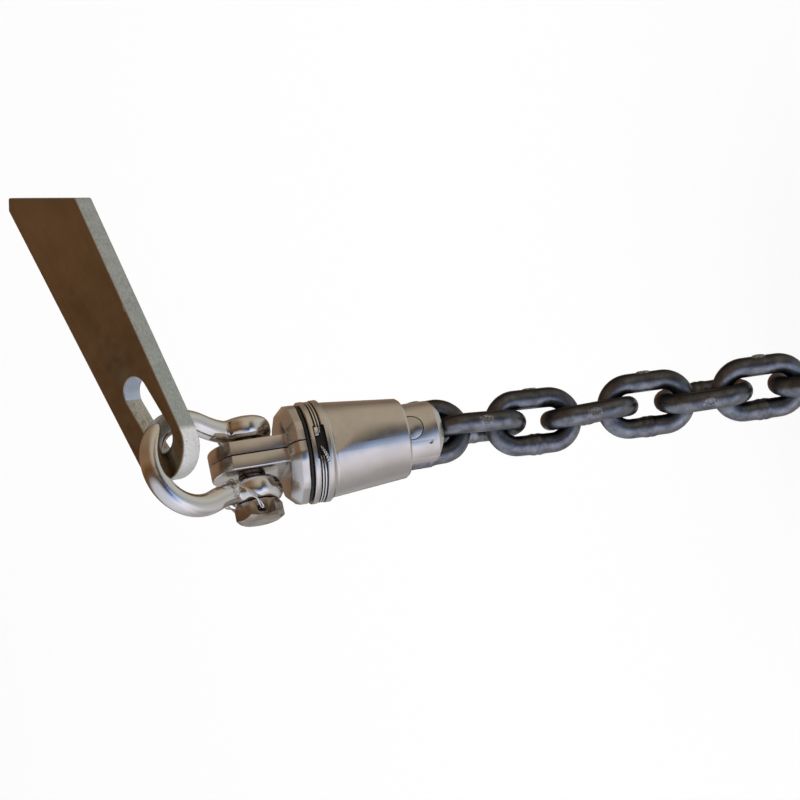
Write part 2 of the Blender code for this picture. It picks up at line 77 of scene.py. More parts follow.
# The middle of the shackle pin; drops are measured straight down from it
PIN = joint_point("swivel_on_pin")
SWIVEL_PLACE = Matrix.Translation(PIN)
ALONG_X = Matrix.Rotation(math.pi / 2, 4, "Y")
TOWARDS_HEAD = Matrix.Rotation(-math.pi / 2, 4, "Y")
UPRIGHT = Matrix.Rotation(math.pi / 2, 4, "X")
ALONG_Y = Matrix.Rotation(-math.pi / 2, 4, "X")
GAP = 0.3 * MM
SPLIT_GAP = 0.7 * MM              # open line between the halves of the eye

# The shank's own axes: X along the bar, Y across it, Z out of its front face
TIP_FROM_PIN = Vector((9.5, -21.9, 48.6)) * MM    # start of the tip on the front face
SHANK_HEADING = math.radians(3.6)
SHANK_RISE = math.radians(13.2)
SHANK_ROLL = math.radians(32.8)
SHANK_SKEW = math.radians(0.57)
SHANK_PLACE = (
    Matrix.Translation(PIN + TIP_FROM_PIN)
    @ Matrix.Rotation(SHANK_HEADING, 4, "Z")
    @ Matrix.Rotation(-SHANK_RISE, 4, "Y")
    @ Matrix.Rotation(SHANK_ROLL, 4, "X")
    @ Matrix.Rotation(SHANK_SKEW, 4, "Z")
)
SHANK_TAPER = 0.0365              # growth of the half width for each unit of length
BUTT_LONG = 168.6 * MM
BUTT_SHORT = 137.9 * MM
BUTT_CLIP = 5.8 * MM              # small cut corner on the long edge
SLOT_SIDE = -4.2 * MM             # middle of the slot's low end, across the bar
SLOT_TURN = math.radians(6.0)     # the slot's lean from the bar's length
SLOT_LOW = -5.0 * MM
SLOT_TOP = 39.6 * MM
KNOCK_ALONG = 70.5 * MM           # an old knock on the front edge
KNOCK_RADIUS = 1.5 * MM

# The bow's own axes: X along the pin, Z towards the crown
BOW_LEAN = math.radians(25.65)
BOW_PLACE = SWIVEL_PLACE @ Matrix.Rotation(BOW_LEAN, 4, "X")
EAR_IN = 9.9 * MM
EAR_OUT = 22.9 * MM
PIN_RADIUS = 6.9 * MM
HEAD_IN = 23.2 * MM
HEAD_OUT = 32.4 * MM
HEAD_MIDDLE = -(HEAD_IN + HEAD_OUT) / 2
HEAD_HOLE = 1.7 * MM
HEAD_SINK = 3.0 * MM              # funnel at each mouth of the hole
CROWN_ARC = math.radians(115)     # half of the round crown
SEIZING_LEG = -18.0 * MM          # the leg of the bow that the wire goes round ...
SEIZING_HEIGHT = 15.8 * MM        # ... and how far from the pin
STRAND_RADIUS = 0.42 * MM

# The swivel, in drops below the pin
FLANGE_TOP = 17.75 * MM
FLANGE_FACE = 22.4 * MM
FLANGE_RADIUS = 26.9 * MM
FLANGE_LOW = 26.75 * MM
FLAT_DEPTH = 0.7 * MM
TONGUE_HALF_WIDE = 17.6 * MM
TONGUE_HALF_THICK = 7.8 * MM
TONGUE_END = 21.1 * MM
DOWEL_SIDE = 18.0 * MM
DOWEL_DROP = 23.4 * MM
DOWEL_HOLE = 1.8 * MM
STEM_RADIUS = 21.0 * MM
STEM_LOW = 46.0 * MM
SOCKET_TOP = 30.0 * MM
SOCKET_LOW = 41.0 * MM
SOCKET_RADIUS = 14.5 * MM
NECK_RADIUS = 8.5 * MM
SLEEVE_TOP = 29.2 * MM
RING_RADIUS = 27.3 * MM
GROOVE_TOP = 32.3 * MM
GROOVE_LOW = 36.1 * MM
GROOVE_RADIUS = 25.7 * MM
COLLAR_LOW = 39.7 * MM
WINDOW_LEFT = -11.2 * MM
WINDOW_RIGHT = 6.8 * MM
WINDOW_TOP = 31.2 * MM
WINDOW_LOW = 37.4 * MM
WINDOW_FLOOR = 22.8 * MM          # from the axis
KEY_LOW = Vector((1.2, -26.6, -34.0)) * MM
KEY_HIGH = Vector((5.8, -24.2, -31.6)) * MM
LOCK_WIRE = 0.5 * MM              # radius of the wire in the groove
LOCK_WIRE_DROPS = (33.4 * MM, 34.9 * MM)
CONE_TOP = 42.6 * MM
CONE_LOW = 83.6 * MM
SLEEVE_BORE = 18.7 * MM
BUSH_SEAT = 19.7 * MM
JAW_RADIUS = 18.0 * MM
JAW_LOW = 103.0 * MM
JAW_SLOT_TOP = 66.2 * MM
JAW_LIP = 3.2 * MM
JAW_SCOOP = 21.0 * MM
CHAIN_PIN_DROP = 85.5 * MM
CHAIN_PIN_RADIUS = 6.3 * MM
DIMPLE_DROP = 95.0 * MM
DIMPLE_TURN = math.radians(-29)
BEYOND = 40.0 * MM                # past everything that a cutter cuts


# ---------------------------------------------------------------- settings

def length(name, default, text):
    return FloatProperty(name=name, description=text, default=default, unit="LENGTH", precision=5)


def colour(name, default, text):
    return FloatVectorProperty(name=name, description=text, default=default, size=3,
                               subtype="COLOR", min=0, max=1)


class ShankSettings(bpy.types.PropertyGroup):
    """Sizes and colours of the galvanised shank."""
    thick: length("Thickness", 12.0 * MM, "Thickness of the flat bar")
    tip_half: length("Half width", 18.6 * MM, "Half width where the rounded tip starts")
    tip_reach: length("Tip reach", 18.1 * MM, "Length of the rounded tip")
    slot_wide: length("Slot width", 17.2 * MM, "Width of the slot")
    edge: length("Edge", 0.9 * MM, "Rounding of the bar's edges")
    zinc: colour("Zinc", (0.50, 0.52, 0.49), "Colour of the zinc coat on the cut edges")
    face: colour("Face", (0.31, 0.240, 0.145), "Colour of the flat faces")
    stain: colour("Stain", (0.25, 0.185, 0.105), "Colour of the stains on the flat faces")


class ShackleSettings(bpy.types.PropertyGroup):
    """Sizes and colours of the bow shackle."""
    wire: length("Bar radius", 6.0 * MM, "Radius of the bow's round bar")
    reach: length("Reach", 60.0 * MM, "Pin centre to the middle of the crown")
    half: length("Half width", 23.15 * MM, "Half width at the middle of the bar")
    ear_radius: length("Ear radius", 14.6 * MM, "Radius of the round ears")
    head_corner: length("Head corner", 13.0 * MM, "Centre of the head to a corner")
    steel: colour("Polished steel", (0.70, 0.68, 0.65), "Colour of the polished steel")
    bolt: colour("Bolt steel", (0.44, 0.39, 0.33), "Colour of the pin and its head")


class SwivelSettings(bpy.types.PropertyGroup):
    """Sizes and colours of the swivel."""
    flange_flats: IntProperty(name="Flange flats", description="Flats round the flange", default=10)
    cone_top: length("Cone top radius", 25.5 * MM, "Radius of the cone at its thick end")
    cone_low: length("Cone low radius", 21.6 * MM, "Radius of the cone at its thin end")
    steel: colour("Satin steel", (0.66, 0.63, 0.59), "Colour of the satin steel")
    bronze: colour("Bronze", (0.50, 0.33, 0.14), "Colour of the bearings")


class ChainSettings(bpy.types.PropertyGroup):
    """Sizes and colours of the chain."""
    wire: length("Bar radius", 5.5 * MM, "Radius of a link's bar")
    inside: length("Inside length", 33.0 * MM, "Length of a link's hole")
    wide: length("Width", 36.0 * MM, "Width of a link")
    dark: colour("Dark steel", (0.150, 0.155, 0.170), "Colour of the darkened steel")
    rubbed: colour("Rubbed steel", (0.300, 0.310, 0.335), "Colour where the dark coat is thin")


class StageSettings(bpy.types.PropertyGroup):
    """Floor, lights and camera."""
    lens: FloatProperty(name="Lens", description="Focal length in millimetres", default=90.0)
    floor_gap: length("Floor gap", 12.0 * MM, "Gap between the chain's end and the floor")


SETTINGS = {
    "anchor_shank_settings": ShankSettings,
    "anchor_shackle_settings": ShackleSettings,
    "anchor_swivel_settings": SwivelSettings,
    "anchor_chain_settings": ChainSettings,
    "anchor_stage_settings": StageSettings,
}


def settings(name):
    """The sizes and colours of one group of pieces."""
    return getattr(bpy.context.scene, f"anchor_{name}_settings")


# ---------------------------------------------------------------- modelling tools

def deselect():
    """Leave edit mode and select nothing."""
    if bpy.context.object and bpy.context.object.mode != "OBJECT":
        bpy.ops.object.mode_set(mode="OBJECT")
    bpy.ops.object.select_all(action="DESELECT")


def choose(obj):
    """Select one object alone and make it the active one."""
    deselect()
    obj.select_set(True)
    bpy.context.view_layer.objects.active = obj
    return obj


def settle(obj, place=None):
    """Put the object's place into its mesh."""
    choose(obj)
    if place is not None:
        obj.matrix_world = place @ obj.matrix_world
    bpy.ops.object.transform_apply(location=True, rotation=True, scale=True)
    return obj


def apply_modifier(obj, kind, **values):
    """Add a modifier, set it and apply it."""
    choose(obj)
    modifier = obj.modifiers.new(kind.lower(), kind)
    for key, value in values.items():
        setattr(modifier, key, value)
    bpy.ops.object.modifier_apply(modifier=modifier.name)
    return obj


def boolean(obj, other, operation="DIFFERENCE"):
    """Join or cut two closed bodies and keep the result."""
    apply_modifier(obj, "BOOLEAN", operation=operation, solver="EXACT", object=other)
    bpy.data.objects.remove(other)
    return obj


def round_edges(obj, width, segments=2, angle=30):
    """Bevel the edges that turn by more than the angle."""
    return apply_modifier(obj, "BEVEL", width=width, segments=segments, limit_method="ANGLE",
                          angle_limit=math.radians(angle), harden_normals=False)


def smooth(obj, angle=35):
    choose(obj)
    bpy.ops.object.shade_smooth_by_angle(angle=math.radians(angle), keep_sharp_edges=False)
    return obj


def edit_all(obj, *steps):
    """Run edit mode operators in turn, each on the whole mesh."""
    choose(obj)
    bpy.ops.object.mode_set(mode="EDIT")
    for operator, values in steps:
        bpy.ops.mesh.select_all(action="SELECT")
        operator(**values)
    bpy.ops.object.mode_set(mode="OBJECT")
    return obj


def tidy_mesh(obj):
    """Merge doubles and face every side outwards."""
    return edit_all(obj, (bpy.ops.mesh.remove_doubles, {"threshold": 1e-6}),
                    (bpy.ops.mesh.normals_make_consistent, {"inside": False}))


def new_object(name, data):
    """Put a new mesh or curve in the scene, selected alone."""
    obj = bpy.data.objects.new(name, data)
    bpy.context.scene.collection.objects.link(obj)
    return choose(obj)


def turned(name, profile, place, steps=128):
    """Spin a closed outline of (radius, drop) once round the drop axis."""
    mesh = bpy.data.meshes.new(name)
    count = len(profile)
    on_axis = [radius < 1e-9 for radius, drop in profile]
    edges = [(i, (i + 1) % count) for i in range(count)
             if not (on_axis[i] and on_axis[(i + 1) % count])]
    mesh.from_pydata([(radius, 0, -drop) for radius, drop in profile], edges, [])
    obj = new_object(name, mesh)
    whole_turn = {"steps": steps, "angle": math.tau, "center": (0, 0, 0), "axis": (0, 0, 1)}
    edit_all(obj, (bpy.ops.mesh.spin, whole_turn))
    tidy_mesh(obj)
    return settle(obj, place)


def bar(name, points, radius, place, closed=False, resolution=4, radii=None):
    """A round bar along a path, made as a bevelled curve and turned into a mesh."""
    data = bpy.data.curves.new(name, "CURVE")
    data.dimensions = "3D"
    spline = data.splines.new("POLY")
    spline.points.add(len(points) - 1)
    for index, point in enumerate(points):
        spline.points[index].co = (*point, 1)
        spline.points[index].radius = radii[index] if radii else 1
    spline.use_cyclic_u = closed
    data.bevel_depth = radius
    data.bevel_resolution = resolution
    data.use_fill_caps = not closed
    data.twist_mode = "MINIMUM"
    new_object(name, data)
    bpy.ops.object.convert(target="MESH")
    obj = bpy.context.object
    tidy_mesh(obj)
    return settle(obj, place)


def rod(name, radius, low, high, place, sides=64):
    """A round bar between two stations of its own Z."""
    deselect()
    bpy.ops.mesh.primitive_cylinder_add(vertices=sides, radius=radius, depth=high - low,
                                        location=(0, 0, (low + high) / 2))
    obj = bpy.context.object
    obj.name = name
    return settle(obj, place)


def block(name, low, high, place):
    """A box between two corners."""
    deselect()
    bpy.ops.mesh.primitive_cube_add(size=1)
    obj = bpy.context.object
    obj.name = name
    low, high = Vector(low), Vector(high)
    obj.scale = high - low
    obj.location = (low + high) / 2
    bpy.ops.object.transform_apply(location=True, rotation=True, scale=True)
    return settle(obj, place)


def smooth_path(points, steps, closed=False):
    """Points on a smooth curve through the given ones."""
    points = [Vector(point) for point in points]
    count = len(points)
    path = []
    for index in range(count if closed else count - 1):
        if closed:
            p0, p1, p2, p3 = (points[(index + k) % count] for k in (-1, 0, 1, 2))
        else:
            p0, p1, p2, p3 = (points[min(max(index + k, 0), count - 1)] for k in (-1, 0, 1, 2))
        for step in range(steps):
            t = step / steps
            path.append(0.5 * (
                2 * p1 + (p2 - p0) * t + (2 * p0 - 5 * p1 + 4 * p2 - p3) * t * t
                + (3 * p1 - p0 - 3 * p2 + p3) * t ** 3
            ))
    if not closed:
        path.append(points[-1])
    return path


def done(obj, finish, angle, body, slot, *nodes):
    """Smooth and dress a finished piece, tie it to its body and hide the CAD nodes it stands for."""
    smooth(obj, angle)
    obj.data.materials.clear()
    obj.data.materials.append(material(finish))
    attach(obj, body)
    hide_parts(*nodes)
    return obj


def dress(node, finish):
    """Give a CAD node its finish."""
    obj = NODES[node]
    if not obj.material_slots:
        obj.data.materials.append(finish)
    for material_slot in obj.material_slots:
        material_slot.material = finish


# ---------------------------------------------------------------- materials

class Nodes:
    """Short ways to add nodes to one tree."""

    def __init__(self, tree):
        self.nodes = tree.nodes
        self.links = tree.links

    def feed(self, socket, value):
        """Link an output to the socket, or set the socket to a number or a colour."""
        if isinstance(value, bpy.types.NodeSocket):
            self.links.new(value, socket)
        elif isinstance(value, (int, float)):
            socket.default_value = value
        else:
            socket.default_value = (*value, 1)

    def split(self, vector):
        node = self.nodes.new("ShaderNodeSeparateXYZ")
        self.links.new(vector, node.inputs["Vector"])
        return node.outputs

    def spread(self, value, low, high, to_low=0.0, to_high=1.0):
        """to_low at low, to_high at high."""
        node = self.nodes.new("ShaderNodeMapRange")
        limits = {"From Min": low, "From Max": high, "To Min": to_low, "To Max": to_high}
        for name, number in limits.items():
            node.inputs[name].default_value = number
        self.links.new(value, node.inputs["Value"])
        return node.outputs["Result"]

    def ramp(self, factor, *stops):
        """A colour ramp; each stop is (position, value or colour)."""
        node = self.nodes.new("ShaderNodeValToRGB")
        elements = node.color_ramp.elements
        while len(elements) < len(stops):
            elements.new(0.5)
        for element, (position, value) in zip(elements, stops):
            element.position = position
            value = (value,) * 3 if isinstance(value, (int, float)) else value
            element.color = (*value, 1)
        self.links.new(factor, node.inputs["Fac"])
        return node.outputs["Color"]

    def mix(self, factor, first, second, blend="MIX"):
        node = self.nodes.new("ShaderNodeMix")
        node.data_type = "RGBA"
        node.blend_type = blend
        for name, value in (("Factor", factor), ("A", first), ("B", second)):
            self.feed(node.inputs[name], value)
        return node.outputs["Result"]

    def maths(self, operation, first, second=0.0):
        node = self.nodes.new("ShaderNodeMath")
        node.operation = operation
        for socket, value in zip(node.inputs, (first, second)):
            self.feed(socket, value)
        return node.outputs["Value"]


class Finish(Nodes):
    """A procedural surface built up from Object coordinates."""

    def __init__(self, name, base, metallic, roughness):
        self.material = bpy.data.materials.new(name)
        self.material.use_nodes = True
        super().__init__(self.material.node_tree)
        self.shader = self.nodes["Principled BSDF"]
        self.shader.inputs["Base Color"].default_value = (*base, 1)
        self.shader.inputs["Metallic"].default_value = metallic
        self.shader.inputs["Roughness"].default_value = roughness
        self.coordinates = self.nodes.new("ShaderNodeTexCoord").outputs["Object"]

    def mapped(self, scale=(1, 1, 1), turn=(0, 0, 0), shift=(0, 0, 0)):
        mapping = self.nodes.new("ShaderNodeMapping")
        mapping.inputs["Scale"].default_value = scale
        mapping.inputs["Rotation"].default_value = turn
        mapping.inputs["Location"].default_value = shift
        self.links.new(self.coordinates, mapping.inputs["Vector"])
        return mapping.outputs["Vector"]

    def local(self, place):
        """Coordinates along a piece's own axes."""
        back = place.inverted()
        return self.mapped(turn=back.to_euler(), shift=back.translation)

    def scaled(self, vector, scale):
        mapping = self.nodes.new("ShaderNodeMapping")
        mapping.inputs["Scale"].default_value = scale
        self.links.new(vector, mapping.inputs["Vector"])
        return mapping.outputs["Vector"]

    def noise(self, scale, detail=4, rough=0.55, vector=None, distortion=0):
        texture = self.nodes.new("ShaderNodeTexNoise")
        texture.inputs["Scale"].default_value = scale
        texture.inputs["Detail"].default_value = detail
        texture.inputs["Roughness"].default_value = rough
        texture.inputs["Distortion"].default_value = distortion
        self.links.new(vector or self.coordinates, texture.inputs["Vector"])
        return texture.outputs["Fac"]

    def cells(self, scale):
        texture = self.nodes.new("ShaderNodeTexVoronoi")
        texture.inputs["Scale"].default_value = scale
        self.links.new(self.coordinates, texture.inputs["Vector"])
        return texture.outputs["Distance"]

    def set(self, name, value):
        self.feed(self.shader.inputs[name], value)

    def gloss(self, texture, low, high):
        """Roughness from low to high, as the texture goes."""
        self.set("Roughness", self.ramp(texture, (0.3, low), (0.7, high)))

    def bump(self, height, strength, distance):
        """Roughen the surface on top of the bumps it already has."""
        node = self.nodes.new("ShaderNodeBump")
        node.inputs["Strength"].default_value = strength
        node.inputs["Distance"].default_value = distance
        self.links.new(height, node.inputs["Height"])
        if self.shader.inputs["Normal"].links:
            earlier = self.shader.inputs["Normal"].links[0].from_socket
            self.links.new(earlier, node.inputs["Normal"])
        self.links.new(node.outputs["Normal"], self.shader.inputs["Normal"])

    def facing(self, direction):
        """How squarely the surface looks along a direction of its own frame."""
        coordinates = self.nodes.new("ShaderNodeTexCoord")
        dot = self.nodes.new("ShaderNodeVectorMath")
        dot.operation = "DOT_PRODUCT"
        self.links.new(coordinates.outputs["Normal"], dot.inputs[0])
        dot.inputs[1].default_value = direction
        return dot.outputs["Value"]


def zinc_finish():
    """Weathered zinc: smooth stained faces with faint grain, duller cut edges, and a pitted tip whose edge is
    painted bright and matt as a painted reflection.
    """
    sizes = settings("shank")
    finish = Finish("zinc_weathered_with_painted_reflections", sizes.zinc, 1.0, 0.4)
    own = finish.local(SHANK_PLACE)
    along, across, out = finish.split(own)
    # How far a point is from the two flat faces, and how near the tip
    from_front = finish.maths("MULTIPLY", out, -1.0)
    inner = finish.maths("MINIMUM", from_front, finish.maths("ADD", out, sizes.thick))
    cut = finish.spread(inner, 0.15 * MM, 0.9 * MM)
    tip = finish.spread(along, 1.5 * MM, -1.5 * MM)
    grain = finish.noise(520, 4, 0.6, finish.scaled(own, (0.08, 1, 1)))
    blotch = finish.ramp(finish.noise(38, 5, 0.55), (0.38, 0.0), (0.70, 1.0))
    face = finish.mix(blotch, sizes.face, sizes.stain)
    face = finish.mix(0.35, face, finish.ramp(grain, (0.3, 0.72), (0.7, 1.0)), "MULTIPLY")
    speck = finish.ramp(finish.noise(760, 5, 0.7), (0.32, 0.45), (0.60, 1.0))
    drawn = finish.noise(120, 4, 0.6, finish.scaled(own, (1, 1, 0.3)))
    streak = finish.ramp(drawn, (0.35, 0.8), (0.65, 1.0))
    edge = finish.mix(0.55, sizes.zinc, speck, "MULTIPLY")
    edge = finish.mix(0.6, edge, streak, "MULTIPLY")
    # Painted reflection: the rounded tip's edge, which faces the bright side, is painted near white with flecks
    edge = finish.mix(tip, edge, finish.mix(0.35, (0.76, 0.76, 0.75), speck, "MULTIPLY"))
    # The walls of the slot: a scratched side, and a top painted bluish as a painted reflection
    inside = finish.spread(finish.maths("ABSOLUTE", across), 13.0 * MM, 11.5 * MM)
    wall = finish.maths("MULTIPLY", inside, finish.spread(along, 42.0 * MM, 41.0 * MM))
    wall = finish.maths("MULTIPLY", wall, finish.spread(along, 0.0, 1.0 * MM))
    scratched = finish.noise(420, 5, 0.7, finish.scaled(own, (0.4, 1, 1.6)), 2.0)
    scratches = finish.ramp(scratched, (0.38, 0.35), (0.5, 1.0))
    warm = finish.mix(0.8, (0.58, 0.54, 0.46), scratches, "MULTIPLY")
    # Painted reflection: the slot's top end faces the bright bluish side and is painted bluish
    top = finish.spread(along, 31.6 * MM, 32.2 * MM)
    edge = finish.mix(wall, edge, finish.mix(top, warm, (0.66, 0.74, 0.86)))
    coat = finish.mix(cut, face, edge)
    pits = finish.ramp(finish.cells(560), (0.06, 0.0), (0.30, 1.0))
    rim = finish.maths("MULTIPLY", finish.spread(inner, 4.5 * MM, 0.2 * MM), tip)
    rim = finish.maths("MULTIPLY", rim, finish.spread(finish.noise(260, 3), 0.40, 0.50))
    pitting = finish.maths("MULTIPLY", rim, finish.maths("SUBTRACT", 1.0, pits))
    coat = finish.mix(pitting, coat, (0.02, 0.018, 0.015))
    finish.set("Base Color", coat)
    dull = finish.mix(cut, finish.ramp(finish.noise(160, 5), (0.3, 0.26), (0.7, 0.36)),
                      finish.ramp(finish.noise(300, 5), (0.3, 0.46), (0.7, 0.62)))
    finish.set("Roughness", dull)
    # The painted bright tip is also made less metallic
    matt = finish.mix(tip, (0.80, 0.80, 0.80), (0.35, 0.35, 0.35))
    finish.set("Metallic", finish.mix(cut, (1.0, 1.0, 1.0), matt))
    finish.bump(grain, 0.12, 0.0001)
    finish.bump(finish.noise(700, 5, 0.65), 0.30, 0.00015)
    finish.bump(pits, 0.10, 0.0002)
    return finish.material


def polished_finish():
    """Mirror-polished stainless bar with faint drag lines and fine scratches."""
    finish = Finish("stainless_polished", settings("shackle").steel, 1.0, 0.08)
    haze = finish.noise(60, 5, 0.6)
    finish.set("Roughness", finish.ramp(haze, (0.3, 0.06), (0.75, 0.17)))
    scratch = finish.noise(240, 3, 0.5, finish.mapped(scale=(1, 9, 1), turn=(0.4, 0.2, 0.9)))
    finish.bump(scratch, 0.05, 0.0001)
    finish.bump(finish.noise(38, 2), 0.10, 0.0008)
    return finish.material


def satin_finish():
    """Turned and blasted stainless: fine grain with turning lines round the axis."""
    sizes = settings("swivel")
    finish = Finish("stainless_satin", sizes.steel, 1.0, 0.25)
    grain = finish.noise(2200, 3, 0.7)
    lines = finish.noise(900, 2, 0.5, finish.mapped(scale=(0.05, 0.05, 1)))
    finish.gloss(finish.noise(90, 5, 0.6), 0.17, 0.3)
    tint = finish.ramp(finish.noise(55, 5, 0.6), (0.3, 0.86), (0.7, 1.0))
    finish.set("Base Color", finish.mix(1.0, sizes.steel, tint, "MULTIPLY"))
    finish.bump(grain, 0.10, 0.00006)
    finish.bump(lines, 0.08, 0.0001)
    return finish.material


# Finishes with one grain in their gloss and one in their surface
PLAIN_FINISHES = {
    # name in the file, colour, metallic, gloss noise, roughness low and high, bump noise, strength, depth
    "wire": ("stainless_wire", (0.78, 0.77, 0.75), 1.0, (500, 3), (0.10, 0.25), (1500, 2), 0.1, 0.0001),
    "pin": ("stainless_pin", (0.52, 0.50, 0.47), 1.0, (220, 5, 0.6), (0.18, 0.32), (1700, 3), 0.08,
            0.00008),
    "bronze": ("bearing_bronze", "bronze", 1.0, (300, 4), (0.28, 0.45), (900, 3), 0.1, 0.0001),
    # Near black, given to the sleeve's groove and window as painted shade
    "recess_shade": ("near_black_painted_shade", (0.010, 0.009, 0.008), 0.0, (700, 4), (0.35, 0.6), (900, 3), 0.2, 0.0002),
    "seal": ("black_seal", (0.012, 0.012, 0.012), 0.0, (400, 4), (0.45, 0.7), (1200, 3), 0.1, 0.0001),
}


def plain_finish(key):
    """A finish from the table above."""
    name, base, metallic, gloss, (low, high), grain, strength, depth = PLAIN_FINISHES[key]
    base = settings("swivel").bronze if base == "bronze" else base
    finish = Finish(name, base, metallic, (low + high) / 2)
    finish.gloss(finish.noise(*gloss), low, high)
    finish.bump(finish.noise(*grain), strength, depth)
    return finish.material


def head_finish():
    """Machined bolt steel, duller than the bow and browned by weather."""
    finish = Finish("stainless_bolt", settings("shackle").bolt, 1.0, 0.2)
    finish.gloss(finish.noise(180, 5, 0.6), 0.15, 0.30)
    tint = finish.ramp(finish.noise(130, 6, 0.65), (0.32, (0.46, 0.40, 0.34)), (0.62, 1.0))
    finish.set("Base Color", finish.mix(1.0, settings("shackle").bolt, tint, "MULTIPLY"))
    finish.bump(finish.noise(1500, 3), 0.10, 0.00008)
    return finish.material


def chain_finish():
    """Darkened steel, thinly scaled, rubbed brighter in patches, with painted shade: the side of each link facing
    +X is painted near black.
    """
    sizes = settings("chain")
    finish = Finish("chain_dark_with_painted_shade", sizes.dark, 1.0, 0.4)
    scale = finish.ramp(finish.noise(150, 7, 0.62), (0.40, 0.0), (0.66, 1.0))
    coat = finish.mix(scale, sizes.dark, sizes.rubbed)
    flecks = finish.ramp(finish.noise(1300, 4, 0.7), (0.60, 0.0), (0.72, 1.0))
    coat = finish.mix(finish.maths("MULTIPLY", flecks, 0.5), coat, (0.30, 0.30, 0.31))
    # Painted shade: where a link's surface faces +X it is painted near black (0.022); only the other sides show
    # the coat
    clear_of_painted_shade = finish.spread(finish.facing((0.9, 0.2, 0.0)), 0.42, -0.50)
    finish.set("Base Color", finish.mix(clear_of_painted_shade, (0.022, 0.021, 0.022), coat))
    finish.gloss(finish.noise(330, 5, 0.6), 0.27, 0.42)
    finish.bump(finish.noise(260, 6, 0.6), 0.25, 0.0004)
    finish.bump(finish.noise(1600, 4, 0.65), 0.12, 0.0001)
    return finish.material


def rubbed_finish():
    """Steel rubbed nearly bare of its dark coat."""
    finish = Finish("chain_rubbed", (0.34, 0.34, 0.35), 1.0, 0.4)
    worn = finish.ramp(finish.noise(1500, 5, 0.7), (0.38, 0.10), (0.58, 0.42))
    finish.set("Base Color", worn)
    finish.gloss(finish.noise(500, 4), 0.3, 0.5)
    finish.bump(finish.noise(1600, 4, 0.65), 0.2, 0.0001)
    return finish.material


MATERIALS = {}


def material(name):
    """The named finish, made the first time it is asked for."""
    makers = {
        "zinc": zinc_finish, "polished": polished_finish, "satin": satin_finish,
        "head": head_finish, "chain": chain_finish, "rubbed": rubbed_finish,
    }
    if name not in MATERIALS:
        MATERIALS[name] = makers[name]() if name in makers else plain_finish(name)
    return MATERIALS[name]


# ---------------------------------------------------------------- shapes of this object

def arc(centre, radius, first, last, steps):
    """Points on an arc, angles in degrees from the first axis."""
    points = []
    for step in range(steps + 1):
        angle = math.radians(first + (last - first) * step / steps)
        points.append((centre[0] + radius * math.cos(angle), centre[1] + radius * math.sin(angle)))
    return points


def slab(name, outline, low, high, place):
    """A prism from a flat outline, drawn in its own XY plane and extruded along Z."""
    mesh = bpy.data.meshes.new(name)
    mesh.from_pydata([(x, y, low) for x, y in outline], [], [tuple(range(len(outline)))])
    obj = new_object(name, mesh)
    move = {"TRANSFORM_OT_translate": {"value": (0, 0, high - low)}}
    edit_all(obj, (bpy.ops.mesh.extrude_region_move, move),
             (bpy.ops.mesh.normals_make_consistent, {"inside": False}))
    return settle(obj, place)


def copy_of(obj, name):
    """A second object with its own mesh."""
    choose(obj)
    bpy.ops.object.duplicate()
    twin = bpy.context.object
    twin.name = name
    return twin


def shank_half(along):
    """Half width of the bar at a distance from the start of its tip."""
    return settings("shank").tip_half + SHANK_TAPER * along


def shank_outline(sizes):
    """The flat bar's outline: two tapering edges, an elliptical tip and the sawn butt."""
    tip = [(-sizes.tip_reach * math.cos(turn), sizes.tip_half * math.sin(turn))
           for turn in (math.radians(-90 + 180 * step / 48) for step in range(49))]
    butt_long_half = shank_half(BUTT_LONG) - BUTT_CLIP * 0.75
    butt = [
        (BUTT_LONG - BUTT_CLIP, shank_half(BUTT_LONG - BUTT_CLIP)), (BUTT_LONG, butt_long_half),
        (BUTT_SHORT, -shank_half(BUTT_SHORT)),
    ]
    return tip + butt


def bow_path():
    """Middle of the bow's bar: a round crown that draws in to the two ears."""
    sizes = settings("shackle")
    centre = sizes.reach - sizes.half
    crown = []
    for step in range(73):
        angle = -CROWN_ARC + 2 * CROWN_ARC * step / 72
        crown.append(Vector((sizes.half * math.sin(angle), 0, centre + sizes.half * math.cos(angle))))
    start = crown[-1]
    lead = Vector((math.cos(CROWN_ARC), 0, -math.sin(CROWN_ARC)))
    end = Vector(((EAR_IN + EAR_OUT) / 2, 0, 0))
    pull = (end - start).length * 0.4
    leg = []
    for step in range(1, 25):
        t = step / 24
        leg.append(
            (1 - t) ** 3 * start + 3 * (1 - t) ** 2 * t * (start + lead * pull)
            + 3 * (1 - t) * t ** 2 * (end + Vector((0, 0, pull))) + t ** 3 * end
        )
    other = [Vector((-point.x, 0, point.z)) for point in reversed(leg)]
    return other + crown + leg


# For each link, in degrees: lean to -X, lean to -Y, turn about its length
LINK_POSES = (
    (-1, 0, 0), (3, -3, 94), (3, 1, 14), (1, 9, 104),
    (4, 10, 25), (4, 13, 118), (4, 11, 32), (3, 7, 120),
)
LINK_GAP = 0.9 * MM


def link_places():
    """Where each link hangs: its middle and its turn, one hooked in the next."""
    inside = settings("chain").inside
    places = []
    contact = PIN + Vector((0, 0, -(CHAIN_PIN_DROP - CHAIN_PIN_RADIUS - LINK_GAP)))
    for lean_x, lean_y, roll in LINK_POSES:
        turn = (
            Matrix.Rotation(math.radians(lean_x), 4, "Y")
            @ Matrix.Rotation(-math.radians(lean_y), 4, "X")
            @ Matrix.Rotation(-math.radians(roll), 4, "Z")
        )
        down = turn @ Vector((0, 0, -1))
        middle = contact + down * inside / 2
        places.append(Matrix.Translation(middle) @ turn)
        contact = middle + down * (inside / 2 - LINK_GAP)
    return places


